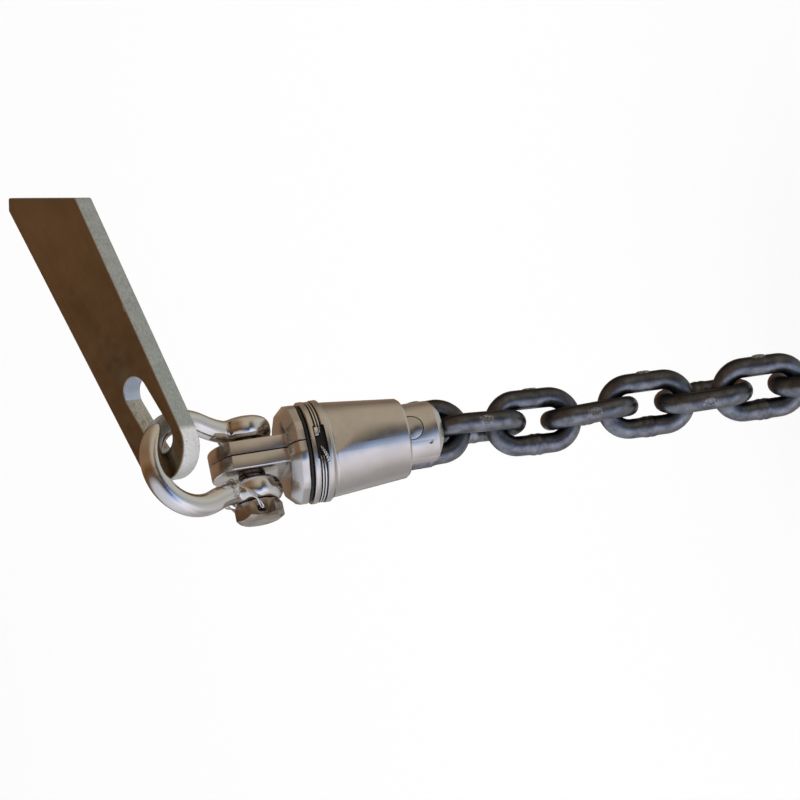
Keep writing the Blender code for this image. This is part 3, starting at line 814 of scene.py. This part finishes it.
def twist(path, spread, pitch, phase, closed=False):
    """A strand that winds round a path."""
    count = len(path)
    strand = []
    walked = 0.0
    side = Vector((0.31, 0.52, 0.79)).normalized()
    for index, point in enumerate(path):
        before = path[index - 1] if closed or index else point
        after = path[(index + 1) % count] if closed or index < count - 1 else point
        lead = (after - before).normalized()
        side = (side - side.dot(lead) * lead).normalized()
        walked += (point - path[index - 1]).length if index else 0.0
        turn = phase + math.tau * walked / pitch
        strand.append(point + spread * (math.cos(turn) * side + math.sin(turn) * lead.cross(side)))
    return strand


def below(drop, y=0.0):
    """A place on the swivel's axis, or beside it."""
    return SWIVEL_PLACE @ Matrix.Translation((0, y, -drop))


def around(radius, degrees, drop):
    """A point on the swivel, by its angle from the front towards +X and its drop."""
    angle = math.radians(degrees)
    return Vector((radius * math.sin(angle), -radius * math.cos(angle), -drop))


# ---------------------------------------------------------------- operators

class AnchorOperator:
    bl_options = {"REGISTER", "UNDO"}

    def execute(self, context):
        self.build()
        return {"FINISHED"}


class ANCHOR_OT_dress_nodes(AnchorOperator, bpy.types.Operator):
    """Give every CAD node its finish, those that detailed pieces stand for too"""
    bl_idname = "anchor.dress_nodes"
    bl_label = "Dress nodes"

    def build(self):
        finishes = {
            "galvanised": "zinc", "polished_steel": "polished", "satin_steel": "satin", "wire": "wire",
            "bronze": "bronze", "seal": "seal", "dark_chain": "chain",
        }
        for part in frame["record"]["subparts"]:
            dress(part["node"], material(finishes[part["material_slot"]]))


class ANCHOR_OT_build_shank(AnchorOperator, bpy.types.Operator):
    """Build the flat slotted bar with its worn edges"""
    bl_idname = "anchor.build_shank"
    bl_label = "Shank"

    def build(self):
        sizes = settings("shank")
        shank = slab("shank_bar", shank_outline(sizes), -sizes.thick, 0, SHANK_PLACE)
        radius = sizes.slot_wide / 2
        lean = math.degrees(SLOT_TURN)
        low = Vector((SLOT_LOW + radius, SLOT_SIDE))
        run = SLOT_TOP - SLOT_LOW - 2 * radius
        top = low + run * Vector((math.cos(SLOT_TURN), math.sin(SLOT_TURN)))
        slot = arc(low, radius, 90 + lean, 270 + lean, 32) + arc(top, radius, -90 + lean, 90 + lean, 32)
        boolean(shank, slab("slot", slot, -2 * sizes.thick, sizes.thick, SHANK_PLACE))
        round_edges(shank, sizes.edge, segments=3, angle=40)
        boolean(shank, self.make_knock())
        done(shank, "zinc", 30, "shank", "galvanised", "anchor_shank")

    def make_knock(self):
        deselect()
        bpy.ops.mesh.primitive_ico_sphere_add(subdivisions=3, radius=KNOCK_RADIUS)
        knock = bpy.context.object
        knock.scale = (1.7, 0.8, 0.9)
        middle = Matrix.Translation((KNOCK_ALONG, -shank_half(KNOCK_ALONG), 0.5 * MM))
        return settle(knock, SHANK_PLACE @ middle)


class ANCHOR_OT_build_bow(AnchorOperator, bpy.types.Operator):
    """Build the forged bow whose ears melt into its bar"""
    bl_idname = "anchor.build_bow"
    bl_label = "Bow"

    def build(self):
        sizes = settings("shackle")
        bow = bar("shackle_bow_bar", bow_path(), sizes.wire, BOW_PLACE, resolution=7)
        corner = 5.4 * MM
        ear = [(0, EAR_IN)]
        ear += arc((sizes.ear_radius - corner, EAR_IN + corner), corner, -90, 0, 8)
        ear += arc((sizes.ear_radius - corner, EAR_OUT - corner), corner, 0, 90, 8)
        ear += [(0, EAR_OUT)]
        for turn in (ALONG_X, TOWARDS_HEAD):
            boolean(bow, turned("ear", ear, BOW_PLACE @ turn, steps=72), "UNION")
        apply_modifier(bow, "REMESH", mode="VOXEL", voxel_size=0.5 * MM)
        apply_modifier(bow, "SMOOTH", factor=0.5, iterations=30)
        hole = rod("hole", PIN_RADIUS + GAP, -2 * EAR_OUT, 2 * EAR_OUT, SWIVEL_PLACE @ ALONG_X)
        boolean(bow, hole)
        done(bow, "polished", 40, "shackle", "polished_steel", "shackle_bow")


class ANCHOR_OT_build_pin(AnchorOperator, bpy.types.Operator):
    """Build the shackle's pin with its chamfered hexagon head and wire hole"""
    bl_idname = "anchor.build_pin"
    bl_label = "Shackle pin"

    def build(self):
        sizes = settings("shackle")
        corner = sizes.head_corner
        hexagon = arc((0, 0), corner, 0, 300, 5)
        turn_head = SWIVEL_PLACE @ TOWARDS_HEAD
        pin = slab("shackle_pin_bolt", hexagon, HEAD_IN, HEAD_OUT, turn_head)
        flat = corner * math.cos(math.radians(30))
        crown = [
            (0, HEAD_IN - MM), (flat + 0.2 * MM, HEAD_IN - MM), (flat + 0.2 * MM, HEAD_IN),
            (corner + 0.2 * MM, HEAD_IN + 1.3 * MM), (corner + 0.2 * MM, HEAD_OUT - 1.7 * MM),
            (flat - 0.9 * MM, HEAD_OUT), (flat - 0.9 * MM, HEAD_OUT + MM), (0, HEAD_OUT + MM),
        ]
        upside = turn_head @ Matrix.Rotation(math.pi, 4, "X")
        boolean(pin, turned("crown", crown, upside, steps=96), "INTERSECT")
        shaft = rod("shaft", PIN_RADIUS, -HEAD_IN - MM, EAR_OUT + MM, SWIVEL_PLACE @ ALONG_X)
        round_edges(shaft, 0.8 * MM, segments=3)
        boolean(pin, shaft, "UNION")
        sink = [
            (0, flat + MM), (HEAD_SINK, flat + MM), (HEAD_SINK, flat), (HEAD_HOLE, flat - 1.1 * MM),
            (HEAD_HOLE, MM - flat), (HEAD_SINK, -flat), (HEAD_SINK, -flat - MM), (0, -flat - MM),
        ]
        middle = Matrix.Translation((HEAD_MIDDLE, 0, 0))
        across = SWIVEL_PLACE @ middle @ UPRIGHT
        boolean(pin, turned("sink", sink, across, steps=48))
        round_edges(pin, 0.3 * MM, segments=2, angle=28)
        done(pin, "head", 25, "shackle", "polished_steel", "shackle_pin")


class ANCHOR_OT_build_seizing(AnchorOperator, bpy.types.Operator):
    """Wind two strands of wire through the head and round the bow's lower leg"""
    bl_idname = "anchor.build_seizing"
    bl_label = "Seizing wire"

    def build(self):
        sizes = settings("shackle")
        flat = sizes.head_corner * math.cos(math.radians(30))
        away = sizes.wire + 1.7 * MM
        lean = Matrix.Rotation(BOW_LEAN, 4, "X")
        round_leg = []
        for degrees in range(-40, 116, 31):
            turn = math.radians(degrees)
            climb = SEIZING_HEIGHT + turn * 0.5 * MM
            point = Vector((SEIZING_LEG + away * math.cos(turn), away * math.sin(turn), climb))
            round_leg.append(lean @ point)
        outside = sizes.ear_radius + 1.6 * MM
        points = [
            Vector((HEAD_MIDDLE, -flat - 1.0 * MM, 0.2 * MM)),
            Vector((-23.6, -15.2, 2.8)) * MM,
            Vector((-18.0, -15.4, 7.2)) * MM,
            Vector((-12.8, -13.4, 11.2)) * MM,
            *round_leg,
            Vector((HEAD_MIDDLE + 3.2 * MM, outside, 4 * MM)),
            Vector((HEAD_MIDDLE, flat + 1.6 * MM, 0.8 * MM)),
            Vector((HEAD_MIDDLE, flat, 0)),
            Vector((HEAD_MIDDLE, 0, 0)),
            Vector((HEAD_MIDDLE, -flat, 0)),
        ]
        path = smooth_path(points, 14, closed=True)
        for number, phase in enumerate((0.4, 0.4 + math.pi), start=1):
            strand = twist(path, 0.62 * MM, 17 * MM, phase, closed=True)
            wire = bar(f"seizing_strand_{number}", strand, STRAND_RADIUS, SWIVEL_PLACE, closed=True,
                       resolution=3)
            done(wire, "wire", 60, "shackle", "wire", "shackle_seizing_wire")


class ANCHOR_OT_build_eye(AnchorOperator, bpy.types.Operator):
    """Build the split eye: tongue and ten-sided flange in two halves"""
    bl_idname = "anchor.build_eye"
    bl_label = "Split eye"

    def build(self):
        profile = [
            (0, FLANGE_TOP), (FLANGE_FACE, FLANGE_TOP), (FLANGE_RADIUS, FLANGE_TOP + 4.8 * MM),
            (FLANGE_RADIUS, FLANGE_LOW - 0.4 * MM), (FLANGE_RADIUS - 0.4 * MM, FLANGE_LOW),
            (STEM_RADIUS, FLANGE_LOW), (STEM_RADIUS, STEM_LOW), (NECK_RADIUS + 0.4 * MM, STEM_LOW),
            (NECK_RADIUS + 0.4 * MM, SOCKET_LOW), (SOCKET_RADIUS, SOCKET_LOW),
            (SOCKET_RADIUS, SOCKET_TOP), (0, SOCKET_TOP),
        ]
        eye = turned("eye", profile, None, steps=200)
        self.cut_flats(eye)
        settle(eye, SWIVEL_PLACE)
        boolean(eye, self.make_tongue(), "UNION")
        boolean(eye, rod("hole", PIN_RADIUS + GAP, -30 * MM, 30 * MM, SWIVEL_PLACE @ ALONG_X, sides=96))
        for y in (-DOWEL_SIDE, DOWEL_SIDE):
            place = below(DOWEL_DROP, y) @ ALONG_X
            boolean(eye, rod("hole", DOWEL_HOLE, -5.3 * MM, 5.3 * MM, place, sides=24))
        for name, node, side in (("eye_upper", "eye_half_upper", 1), ("eye_lower", "eye_half_lower", -1)):
            half = copy_of(eye, name)
            near, far = sorted((side * SPLIT_GAP / 2, side * BEYOND))
            keep = block("side", (near, -BEYOND, -1.5 * BEYOND), (far, BEYOND, BEYOND), SWIVEL_PLACE)
            boolean(half, keep, "INTERSECT")
            tidy_mesh(half)
            round_edges(half, 0.6 * MM, segments=2, angle=24)
            done(half, "satin", 24, "swivel", "satin_steel", node)
        bpy.data.objects.remove(eye)

    def cut_flats(self, eye):
        """Draw the flange's face, chamfer and rim in to ten flats."""
        pitch = math.tau / settings("swivel").flange_flats
        for vertex in eye.data.vertices:
            radius = math.hypot(vertex.co.x, vertex.co.y)
            if vertex.co.z < -FLANGE_LOW - 0.01 * MM or radius < STEM_RADIUS + 0.1 * MM:
                continue
            angle = math.atan2(vertex.co.y, vertex.co.x)
            off = angle % pitch - pitch / 2
            factor = min(1.0, (radius - FLAT_DEPTH) / math.cos(off) / radius)
            vertex.co.x *= factor
            vertex.co.y *= factor

    def make_tongue(self):
        turn = math.degrees(math.asin(TONGUE_HALF_WIDE / TONGUE_END))
        outline = [(-TONGUE_HALF_WIDE, -FLANGE_TOP - MM), (TONGUE_HALF_WIDE, -FLANGE_TOP - MM)]
        outline += arc((0, 0), TONGUE_END, 90 - turn, 90 + turn, 48)
        place = SWIVEL_PLACE @ Matrix.Rotation(math.pi / 2, 4, "Z") @ UPRIGHT
        tongue = slab("tongue", outline, -TONGUE_HALF_THICK, TONGUE_HALF_THICK, place)
        return round_edges(tongue, 1.2 * MM, segments=3, angle=60)


class ANCHOR_OT_build_sleeve(AnchorOperator, bpy.types.Operator):
    """Build the seal, the cone sleeve, its key and the lock wire in its groove"""
    bl_idname = "anchor.build_sleeve"
    bl_label = "Cone sleeve"

    def build(self):
        self.make_seal()
        self.make_cone()
        self.make_key()
        self.make_lock_wire()

    def make_seal(self):
        inner = STEM_RADIUS + GAP
        outer = 25.8 * MM
        top = FLANGE_LOW + GAP
        low = SLEEVE_TOP - GAP
        middle = (top + low) / 2
        half = (low - top) / 2
        profile = [(inner, top)] + arc((outer - half, middle), half, -90, 90, 12) + [(inner, low)]
        seal = turned("seal_ring", profile, SWIVEL_PLACE, steps=160)
        done(seal, "seal", 40, "swivel", "seal", "flange_seal_ring")

    def make_cone(self):
        sizes = settings("swivel")
        edge = 0.45 * MM
        profile = [
            (STEM_RADIUS + GAP, SLEEVE_TOP), (RING_RADIUS - edge, SLEEVE_TOP),
            (RING_RADIUS, SLEEVE_TOP + edge), (RING_RADIUS, GROOVE_TOP - edge),
            (RING_RADIUS - edge, GROOVE_TOP), (GROOVE_RADIUS, GROOVE_TOP), (GROOVE_RADIUS, GROOVE_LOW),
            (RING_RADIUS - edge, GROOVE_LOW), (RING_RADIUS, GROOVE_LOW + edge),
            (RING_RADIUS, COLLAR_LOW - 0.5 * MM), (RING_RADIUS - edge, COLLAR_LOW),
        ]
        profile += arc((sizes.cone_top + 1.9 * MM, 41.7 * MM), 1.9 * MM, 255, 170, 8)[1:]
        profile += [
            (sizes.cone_top - 0.02 * MM, CONE_TOP),
            (sizes.cone_low, CONE_LOW - 1.2 * MM), (sizes.cone_low - 0.9 * MM, CONE_LOW),
            (SLEEVE_BORE, CONE_LOW), (SLEEVE_BORE, 60 * MM), (BUSH_SEAT, 60 * MM),
            (BUSH_SEAT, 47 * MM), (STEM_RADIUS + GAP, 47 * MM),
        ]
        sleeve = turned("cone", profile, SWIVEL_PLACE, steps=192)
        window = block("window", (WINDOW_LEFT, -BEYOND, -WINDOW_LOW),
                       (WINDOW_RIGHT, -WINDOW_FLOOR, -WINDOW_TOP), SWIVEL_PLACE)
        round_edges(window, 1.0 * MM, segments=4)
        boolean(sleeve, window)
        boolean(sleeve, self.flat_cutter())
        round_edges(sleeve, 0.14 * MM, segments=2, angle=18)
        done(sleeve, "satin", 16, "swivel", "satin_steel", "cone_sleeve")
        # The groove and the window are painted near black: painted shade in the recesses
        sleeve.data.materials.append(material("recess_shade"))
        for face in sleeve.data.polygons:
            if self.in_recess(face.center - PIN):
                face.material_index = 1

    def in_recess(self, point):
        """True in the groove and in the window, whose faces are painted near black as painted shade."""
        radius = math.hypot(point.x, point.y)
        drop = -point.z
        slack = 0.05 * MM
        if GROOVE_TOP - slack < drop < GROOVE_LOW + slack and radius < RING_RADIUS - 0.35 * MM:
            return True
        return (WINDOW_LEFT - slack < point.x < WINDOW_RIGHT + slack and point.y < 0
                and WINDOW_TOP - slack < drop < WINDOW_LOW + slack and radius < RING_RADIUS - 0.2 * MM)

    def flat_cutter(self):
        """The plane through two corners near the collar and one further down the cone."""
        right = around(25.5 * MM, 24.9, 42.9 * MM)
        left = around(25.5 * MM, -21.2, 41.7 * MM)
        low = around(24.24 * MM, 2.8, 55.8 * MM)
        across = (right - left).normalized()
        out = across.cross(low - left).normalized()
        out = out if out.y < 0 else -out
        down = out.cross(across)
        down = down if down.z < 0 else -down
        frame_turn = Matrix((across, down, across.cross(down))).transposed().to_4x4()
        near, far = sorted((0, across.cross(down).dot(out) * 12 * MM))
        place = SWIVEL_PLACE @ Matrix.Translation((left + right) / 2) @ frame_turn
        return block("flat", (-20 * MM, -0.5 * MM, near), (20 * MM, 30 * MM, far), place)

    def make_key(self):
        key = block("lock_key", KEY_LOW, KEY_HIGH, SWIVEL_PLACE)
        round_edges(key, 0.5 * MM, segments=3)
        done(key, "wire", 30, "swivel", "wire", "sleeve_lock_key")

    def make_lock_wire(self):
        """Two turns in the groove, and their ends twisted together into a short tail."""
        seat = GROOVE_RADIUS + GAP + LOCK_WIRE
        first, last = ((7, 24.6), (12, 25.6)), ((333, 25.4), (338, 24.2))
        for number, drop in enumerate(LOCK_WIRE_DROPS, start=1):
            points = [around(radius * MM, degrees, drop) for degrees, radius in first]
            points += [around(seat, degrees, drop) for degrees in range(18, 328, 8)]
            points += [around(radius * MM, degrees, drop) for degrees, radius in last]
            wire = bar(f"lock_wire_turn_{number}", smooth_path(points, 4), LOCK_WIRE, SWIVEL_PLACE,
                       resolution=3)
            done(wire, "wire", 60, "swivel", "wire", "sleeve_lock_wire")
        # Angle from the front, drop and radius along the tail, in degrees and millimetres
        stations = ((-10, 34.2, 24.4), (-14, 34.8, 26.4), (-18, 35.4, 27.8), (-23, 36.0, 28.3),
                    (-29, 36.5, 28.5))
        tail_points = [around(radius * MM, degrees, down * MM) for degrees, down, radius in stations]
        path = smooth_path(tail_points, 16)
        for number, phase in enumerate((0.0, math.pi), start=1):
            strand = twist(path, 0.45 * MM, 3.2 * MM, phase)
            tail = bar(f"lock_wire_tail_{number}", strand, STRAND_RADIUS, SWIVEL_PLACE, resolution=3)
            done(tail, "wire", 60, "swivel", "wire", "sleeve_lock_wire")


class ANCHOR_OT_build_jaw(AnchorOperator, bpy.types.Operator):
    """Build the forked jaw and the chain pin that ends flush in it"""
    bl_idname = "anchor.build_jaw"
    bl_label = "Jaw and chain pin"

    def build(self):
        edge = 1.1 * MM
        top = STEM_LOW + 2 * GAP
        profile = [
            (0, SOCKET_TOP + 2 * GAP), (13.5 * MM, SOCKET_TOP + 2 * GAP), (13.9 * MM, 31.0 * MM),
            (13.9 * MM, 36.4 * MM), (13.5 * MM, 36.8 * MM), (NECK_RADIUS, 36.8 * MM),
            (NECK_RADIUS, top), (JAW_RADIUS - edge, top), (JAW_RADIUS, top + edge),
        ]
        profile += [
            (JAW_RADIUS, JAW_LOW - JAW_LIP), (JAW_RADIUS - 0.7 * JAW_LIP, JAW_LOW), (0, JAW_LOW),
        ]
        jaw = turned("jaw", profile, SWIVEL_PLACE, steps=160)
        half = settings("chain").wire + 0.4 * MM
        slot = block("slot", (-BEYOND, -half, -JAW_LOW - MM), (BEYOND, half, -JAW_SLOT_TOP), SWIVEL_PLACE)
        boolean(jaw, slot)
        scoop = below(CHAIN_PIN_DROP + settings("chain").inside) @ ALONG_X
        boolean(jaw, rod("scoop", JAW_SCOOP, -30 * MM, 30 * MM, scoop, sides=160))
        across = below(CHAIN_PIN_DROP) @ ALONG_Y
        boolean(jaw, rod("hole", CHAIN_PIN_RADIUS + 0.45 * MM, -30 * MM, 30 * MM, across, sides=96))
        turn = Matrix.Rotation(DIMPLE_TURN, 4, "Z")
        dimple = SWIVEL_PLACE @ turn @ Matrix.Translation((0, -JAW_RADIUS, -DIMPLE_DROP)) @ ALONG_Y
        boolean(jaw, rod("dimple", 1.3 * MM, -2 * MM, 1.6 * MM, dimple, sides=24))
        round_edges(jaw, 0.3 * MM, segments=2, angle=24)
        done(jaw, "satin", 20, "jaw", "satin_steel", "chain_jaw")

        pin = rod("chain_pin_bar", CHAIN_PIN_RADIUS, -19 * MM, 19 * MM, across, sides=96)
        limit = rod("limit", JAW_RADIUS - 0.15 * MM, -12 * MM, 12 * MM, below(CHAIN_PIN_DROP), sides=192)
        boolean(pin, limit, "INTERSECT")
        round_edges(pin, 0.3 * MM, segments=2, angle=35)
        done(pin, "pin", 30, "jaw", "satin_steel", "chain_pin")


class ANCHOR_OT_build_chain(AnchorOperator, bpy.types.Operator):
    """Forge one link with its weld and its raised pad, and hang eight copies"""
    bl_idname = "anchor.build_chain"
    bl_label = "Chain"

    def build(self):
        link = self.make_link()
        bare = self.bare_faces(link)
        for number, place in enumerate(link_places(), start=1):
            node = f"chain_link_{number}"
            piece = settle(copy_of(link, f"link_{number}_bar"), place)
            done(piece, "chain", 60, f"link_{number}", "dark_chain", node)
            piece.data.materials.append(material("rubbed"))
            for index in bare:
                piece.data.polygons[index].material_index = 1
        bpy.data.objects.remove(link)

    def make_link(self):
        """Two round ends and two straight arms; X across the link, Z along it."""
        sizes = settings("chain")
        bend = sizes.wide / 2 - sizes.wire
        straight = sizes.inside / 2 + sizes.wire - bend
        path = []
        radii = []
        for middle, start in ((straight, 0), (-straight, 180)):
            for x, z in arc((0, middle), bend, start, start + 180, 36):
                path.append(Vector((x, 0, z)))
                radii.append(1.0)
            arm = -bend if start == 0 else bend
            for part in range(1, 24):
                along = middle * (1 - 2 * part / 24)
                path.append(Vector((arm, 0, along)))
                radii.append(self.swelling(along) if arm < 0 else 1.0)
        link = bar("link", path, sizes.wire, None, closed=True, resolution=8, radii=radii)
        # A low oval pad with a blank sunk middle, on the arm across from the weld
        top = sizes.wire + 0.45 * MM
        low = sizes.wire - 1.2 * MM
        pad = [
            (0, 0.35 * MM - top), (1.3 * MM, 0.35 * MM - top), (1.55 * MM, -top), (2.0 * MM, -top),
            (2.3 * MM, 0.3 * MM - top), (2.5 * MM, -low), (0, -low),
        ]
        boss = turned("pad", pad, None, steps=48)
        boss.scale = (1.6, 1, 1)
        settle(boss, Matrix.Translation((bend, 0, 0)) @ ALONG_X)
        boolean(link, boss, "UNION")
        round_edges(link, 0.12 * MM, segments=2, angle=32)
        return link

    def bare_faces(self, link):
        """The pad's faces, rubbed bare of the dark coat."""
        sizes = settings("chain")
        edge = sizes.wide / 2 - 0.02 * MM
        return [face.index for face in link.data.polygons if face.center.x > edge
                or abs(face.center.z) < 4.2 * MM and face.center.x > edge - 0.5 * MM
                and abs(face.center.y) < 2.3 * MM]

    def swelling(self, along):
        """The upset weld in the middle of one arm: a low swelling with a shallow waist."""
        distance = abs(along) / MM
        return 1.0 + 0.10 * math.exp(-(distance / 3.4) ** 4) - 0.05 * math.exp(-(distance / 0.8) ** 2)


def by_degrees(*stops):
    """Colour stops by bearing, from -180 to 180 degrees."""
    return [((degrees + 180) / 360, colour) for degrees, colour in stops]


def by_share(*stops):
    """Colour stops by how far a direction points to +X, from -1 to 1."""
    return [((share + 1) / 2, colour) for share, colour in stops]


# What mirrors see of the room: round the horizon, above and below
RING_COLOURS = by_degrees(
    (-180, (0.14, 0.13, 0.13)), (-166, (0.40, 0.39, 0.38)), (-152, (0.52, 0.51, 0.50)),
    (-138, (0.38, 0.38, 0.41)), (-103, (0.52, 0.50, 0.51)), (-75, (0.90, 0.87, 0.95)),
    (-45, (1.12, 1.12, 1.30)), (-27, (0.50, 0.70, 1.10)), (-12, (0.12, 0.15, 0.27)),
    (0, (0.075, 0.062, 0.055)), (12, (0.20, 0.17, 0.14)), (32, (0.56, 0.48, 0.38)),
    (85, (0.54, 0.46, 0.36)), (104, (0.36, 0.29, 0.22)), (122, (0.20, 0.16, 0.13)),
    (160, (0.36, 0.22, 0.14)), (180, (0.14, 0.12, 0.11)),
)
ABOVE_COLOURS = by_share(
    (-1.0, (0.80, 0.84, 0.95)), (-0.42, (0.62, 0.65, 0.74)), (-0.16, (0.16, 0.10, 0.06)),
    (0.04, (0.150, 0.070, 0.024)), (0.28, (0.28, 0.155, 0.085)), (0.55, (0.24, 0.14, 0.08)),
    (1.0, (0.32, 0.23, 0.15)),
)
PLAIN_LIGHT = (1.06, 1.06, 1.06)
BELOW_COLOURS = by_share(
    (-1.0, (0.75, 0.75, 0.80)), (0.0, (0.50, 0.49, 0.48)), (0.45, (0.60, 0.62, 0.60)),
    (1.0, (0.50, 0.46, 0.40)),
)


VIEW_FROM_PIN = Vector((-0.2797, -1.0001, 0.1883))
VIEW_FORWARD = Vector((0.2786, 0.9258, -0.2556))
VIEW_UP = Vector((0.9355, -0.3218, -0.1458))
FLOOR_SIZE = 40.0


class ANCHOR_OT_build_stage(AnchorOperator, bpy.types.Operator):
    """Add the pale floor, the soft lights and the camera"""
    bl_idname = "anchor.build_stage"
    bl_label = "Stage"

    def build(self):
        sizes = settings("stage")
        low = CAD_BOX[0]
        deselect()
        bpy.ops.mesh.primitive_plane_add(size=FLOOR_SIZE, location=(0, 0, low.z - sizes.floor_gap))
        floor = bpy.context.object
        floor.name = "floor"
        settle(floor)
        ground = Finish("floor_pale", (0.96, 0.96, 0.96), 0.0, 0.9)
        floor.data.materials.append(ground.material)
        floor.visible_glossy = False
        self.make_surroundings()
        self.make_camera(sizes)
        bpy.context.scene.view_settings.view_transform = "Standard"

    def make_surroundings(self):
        """Plain white light for matt surfaces, and a warm room with a bright side for metal."""
        world = bpy.data.worlds.new("studio")
        bpy.context.scene.world = world
        world.use_nodes = True
        tree = Nodes(world.node_tree)
        x, y, z = tree.split(tree.nodes.new("ShaderNodeTexCoord").outputs["Generated"])
        # Degrees from -Y towards +X; the dark line between warm and cool leans with height
        bearing = tree.maths("ARCTAN2", x, tree.maths("MULTIPLY", y, -1.0))
        bearing = tree.maths("MULTIPLY", bearing, 180 / math.pi)
        bearing = tree.maths("SUBTRACT", bearing, tree.spread(z, -0.42, -0.26, 8.0, -13.0))
        ring = tree.ramp(tree.spread(bearing, -180, 180), *RING_COLOURS)
        above = tree.ramp(tree.spread(x, -1, 1), *ABOVE_COLOURS)
        below = tree.ramp(tree.spread(x, -1, 1), *BELOW_COLOURS)
        room = tree.mix(tree.spread(z, -0.12, 0.36), ring, above)
        room = tree.mix(tree.spread(z, -0.55, -0.75), room, below)
        kind = tree.nodes.new("ShaderNodeLightPath").outputs["Is Glossy Ray"]
        tree.feed(tree.nodes["Background"].inputs["Color"], tree.mix(kind, PLAIN_LIGHT, room))

    def make_camera(self, sizes):
        """The lens looks slightly down, and is rolled so that the chain lies across the view."""
        data = bpy.data.cameras.new("camera")
        camera = bpy.data.objects.new("camera", data)
        bpy.context.scene.collection.objects.link(camera)
        data.lens = sizes.lens
        data.sensor_width = 36
        data.clip_start = 0.01
        forward = VIEW_FORWARD.normalized()
        right = forward.cross(VIEW_UP).normalized()
        up = right.cross(forward)
        turn = Matrix((right, up, -forward)).transposed().to_4x4()
        camera.matrix_world = Matrix.Translation(PIN + VIEW_FROM_PIN) @ turn
        bpy.context.scene.camera = camera


class ANCHOR_PT_panel(bpy.types.Panel):
    """Lists the steps that build the model."""
    bl_label = "Anchor swivel"
    bl_idname = "ANCHOR_PT_panel"
    bl_space_type = "VIEW_3D"
    bl_region_type = "UI"
    bl_category = "Anchor"

    def draw(self, context):
        for step in STEPS:
            self.layout.operator(step.bl_idname)


STEPS = (
    ANCHOR_OT_dress_nodes,
    ANCHOR_OT_build_shank,
    ANCHOR_OT_build_bow,
    ANCHOR_OT_build_pin,
    ANCHOR_OT_build_seizing,
    ANCHOR_OT_build_eye,
    ANCHOR_OT_build_sleeve,
    ANCHOR_OT_build_jaw,
    ANCHOR_OT_build_chain,
    ANCHOR_OT_build_stage,
)
CLASSES = (*SETTINGS.values(), *STEPS, ANCHOR_PT_panel)


def register():
    for cls in CLASSES:
        bpy.utils.register_class(cls)
    for name, group in SETTINGS.items():
        setattr(bpy.types.Scene, name, PointerProperty(type=group))


def unregister():
    for name in SETTINGS:
        delattr(bpy.types.Scene, name)
    for cls in reversed(CLASSES):
        bpy.utils.unregister_class(cls)


def main():
    register()
    for step in STEPS:
        group, name = step.bl_idname.split(".")
        getattr(getattr(bpy.ops, group), name)()
    bpy.context.view_layer.update()


if __name__ == "__main__":
    main()
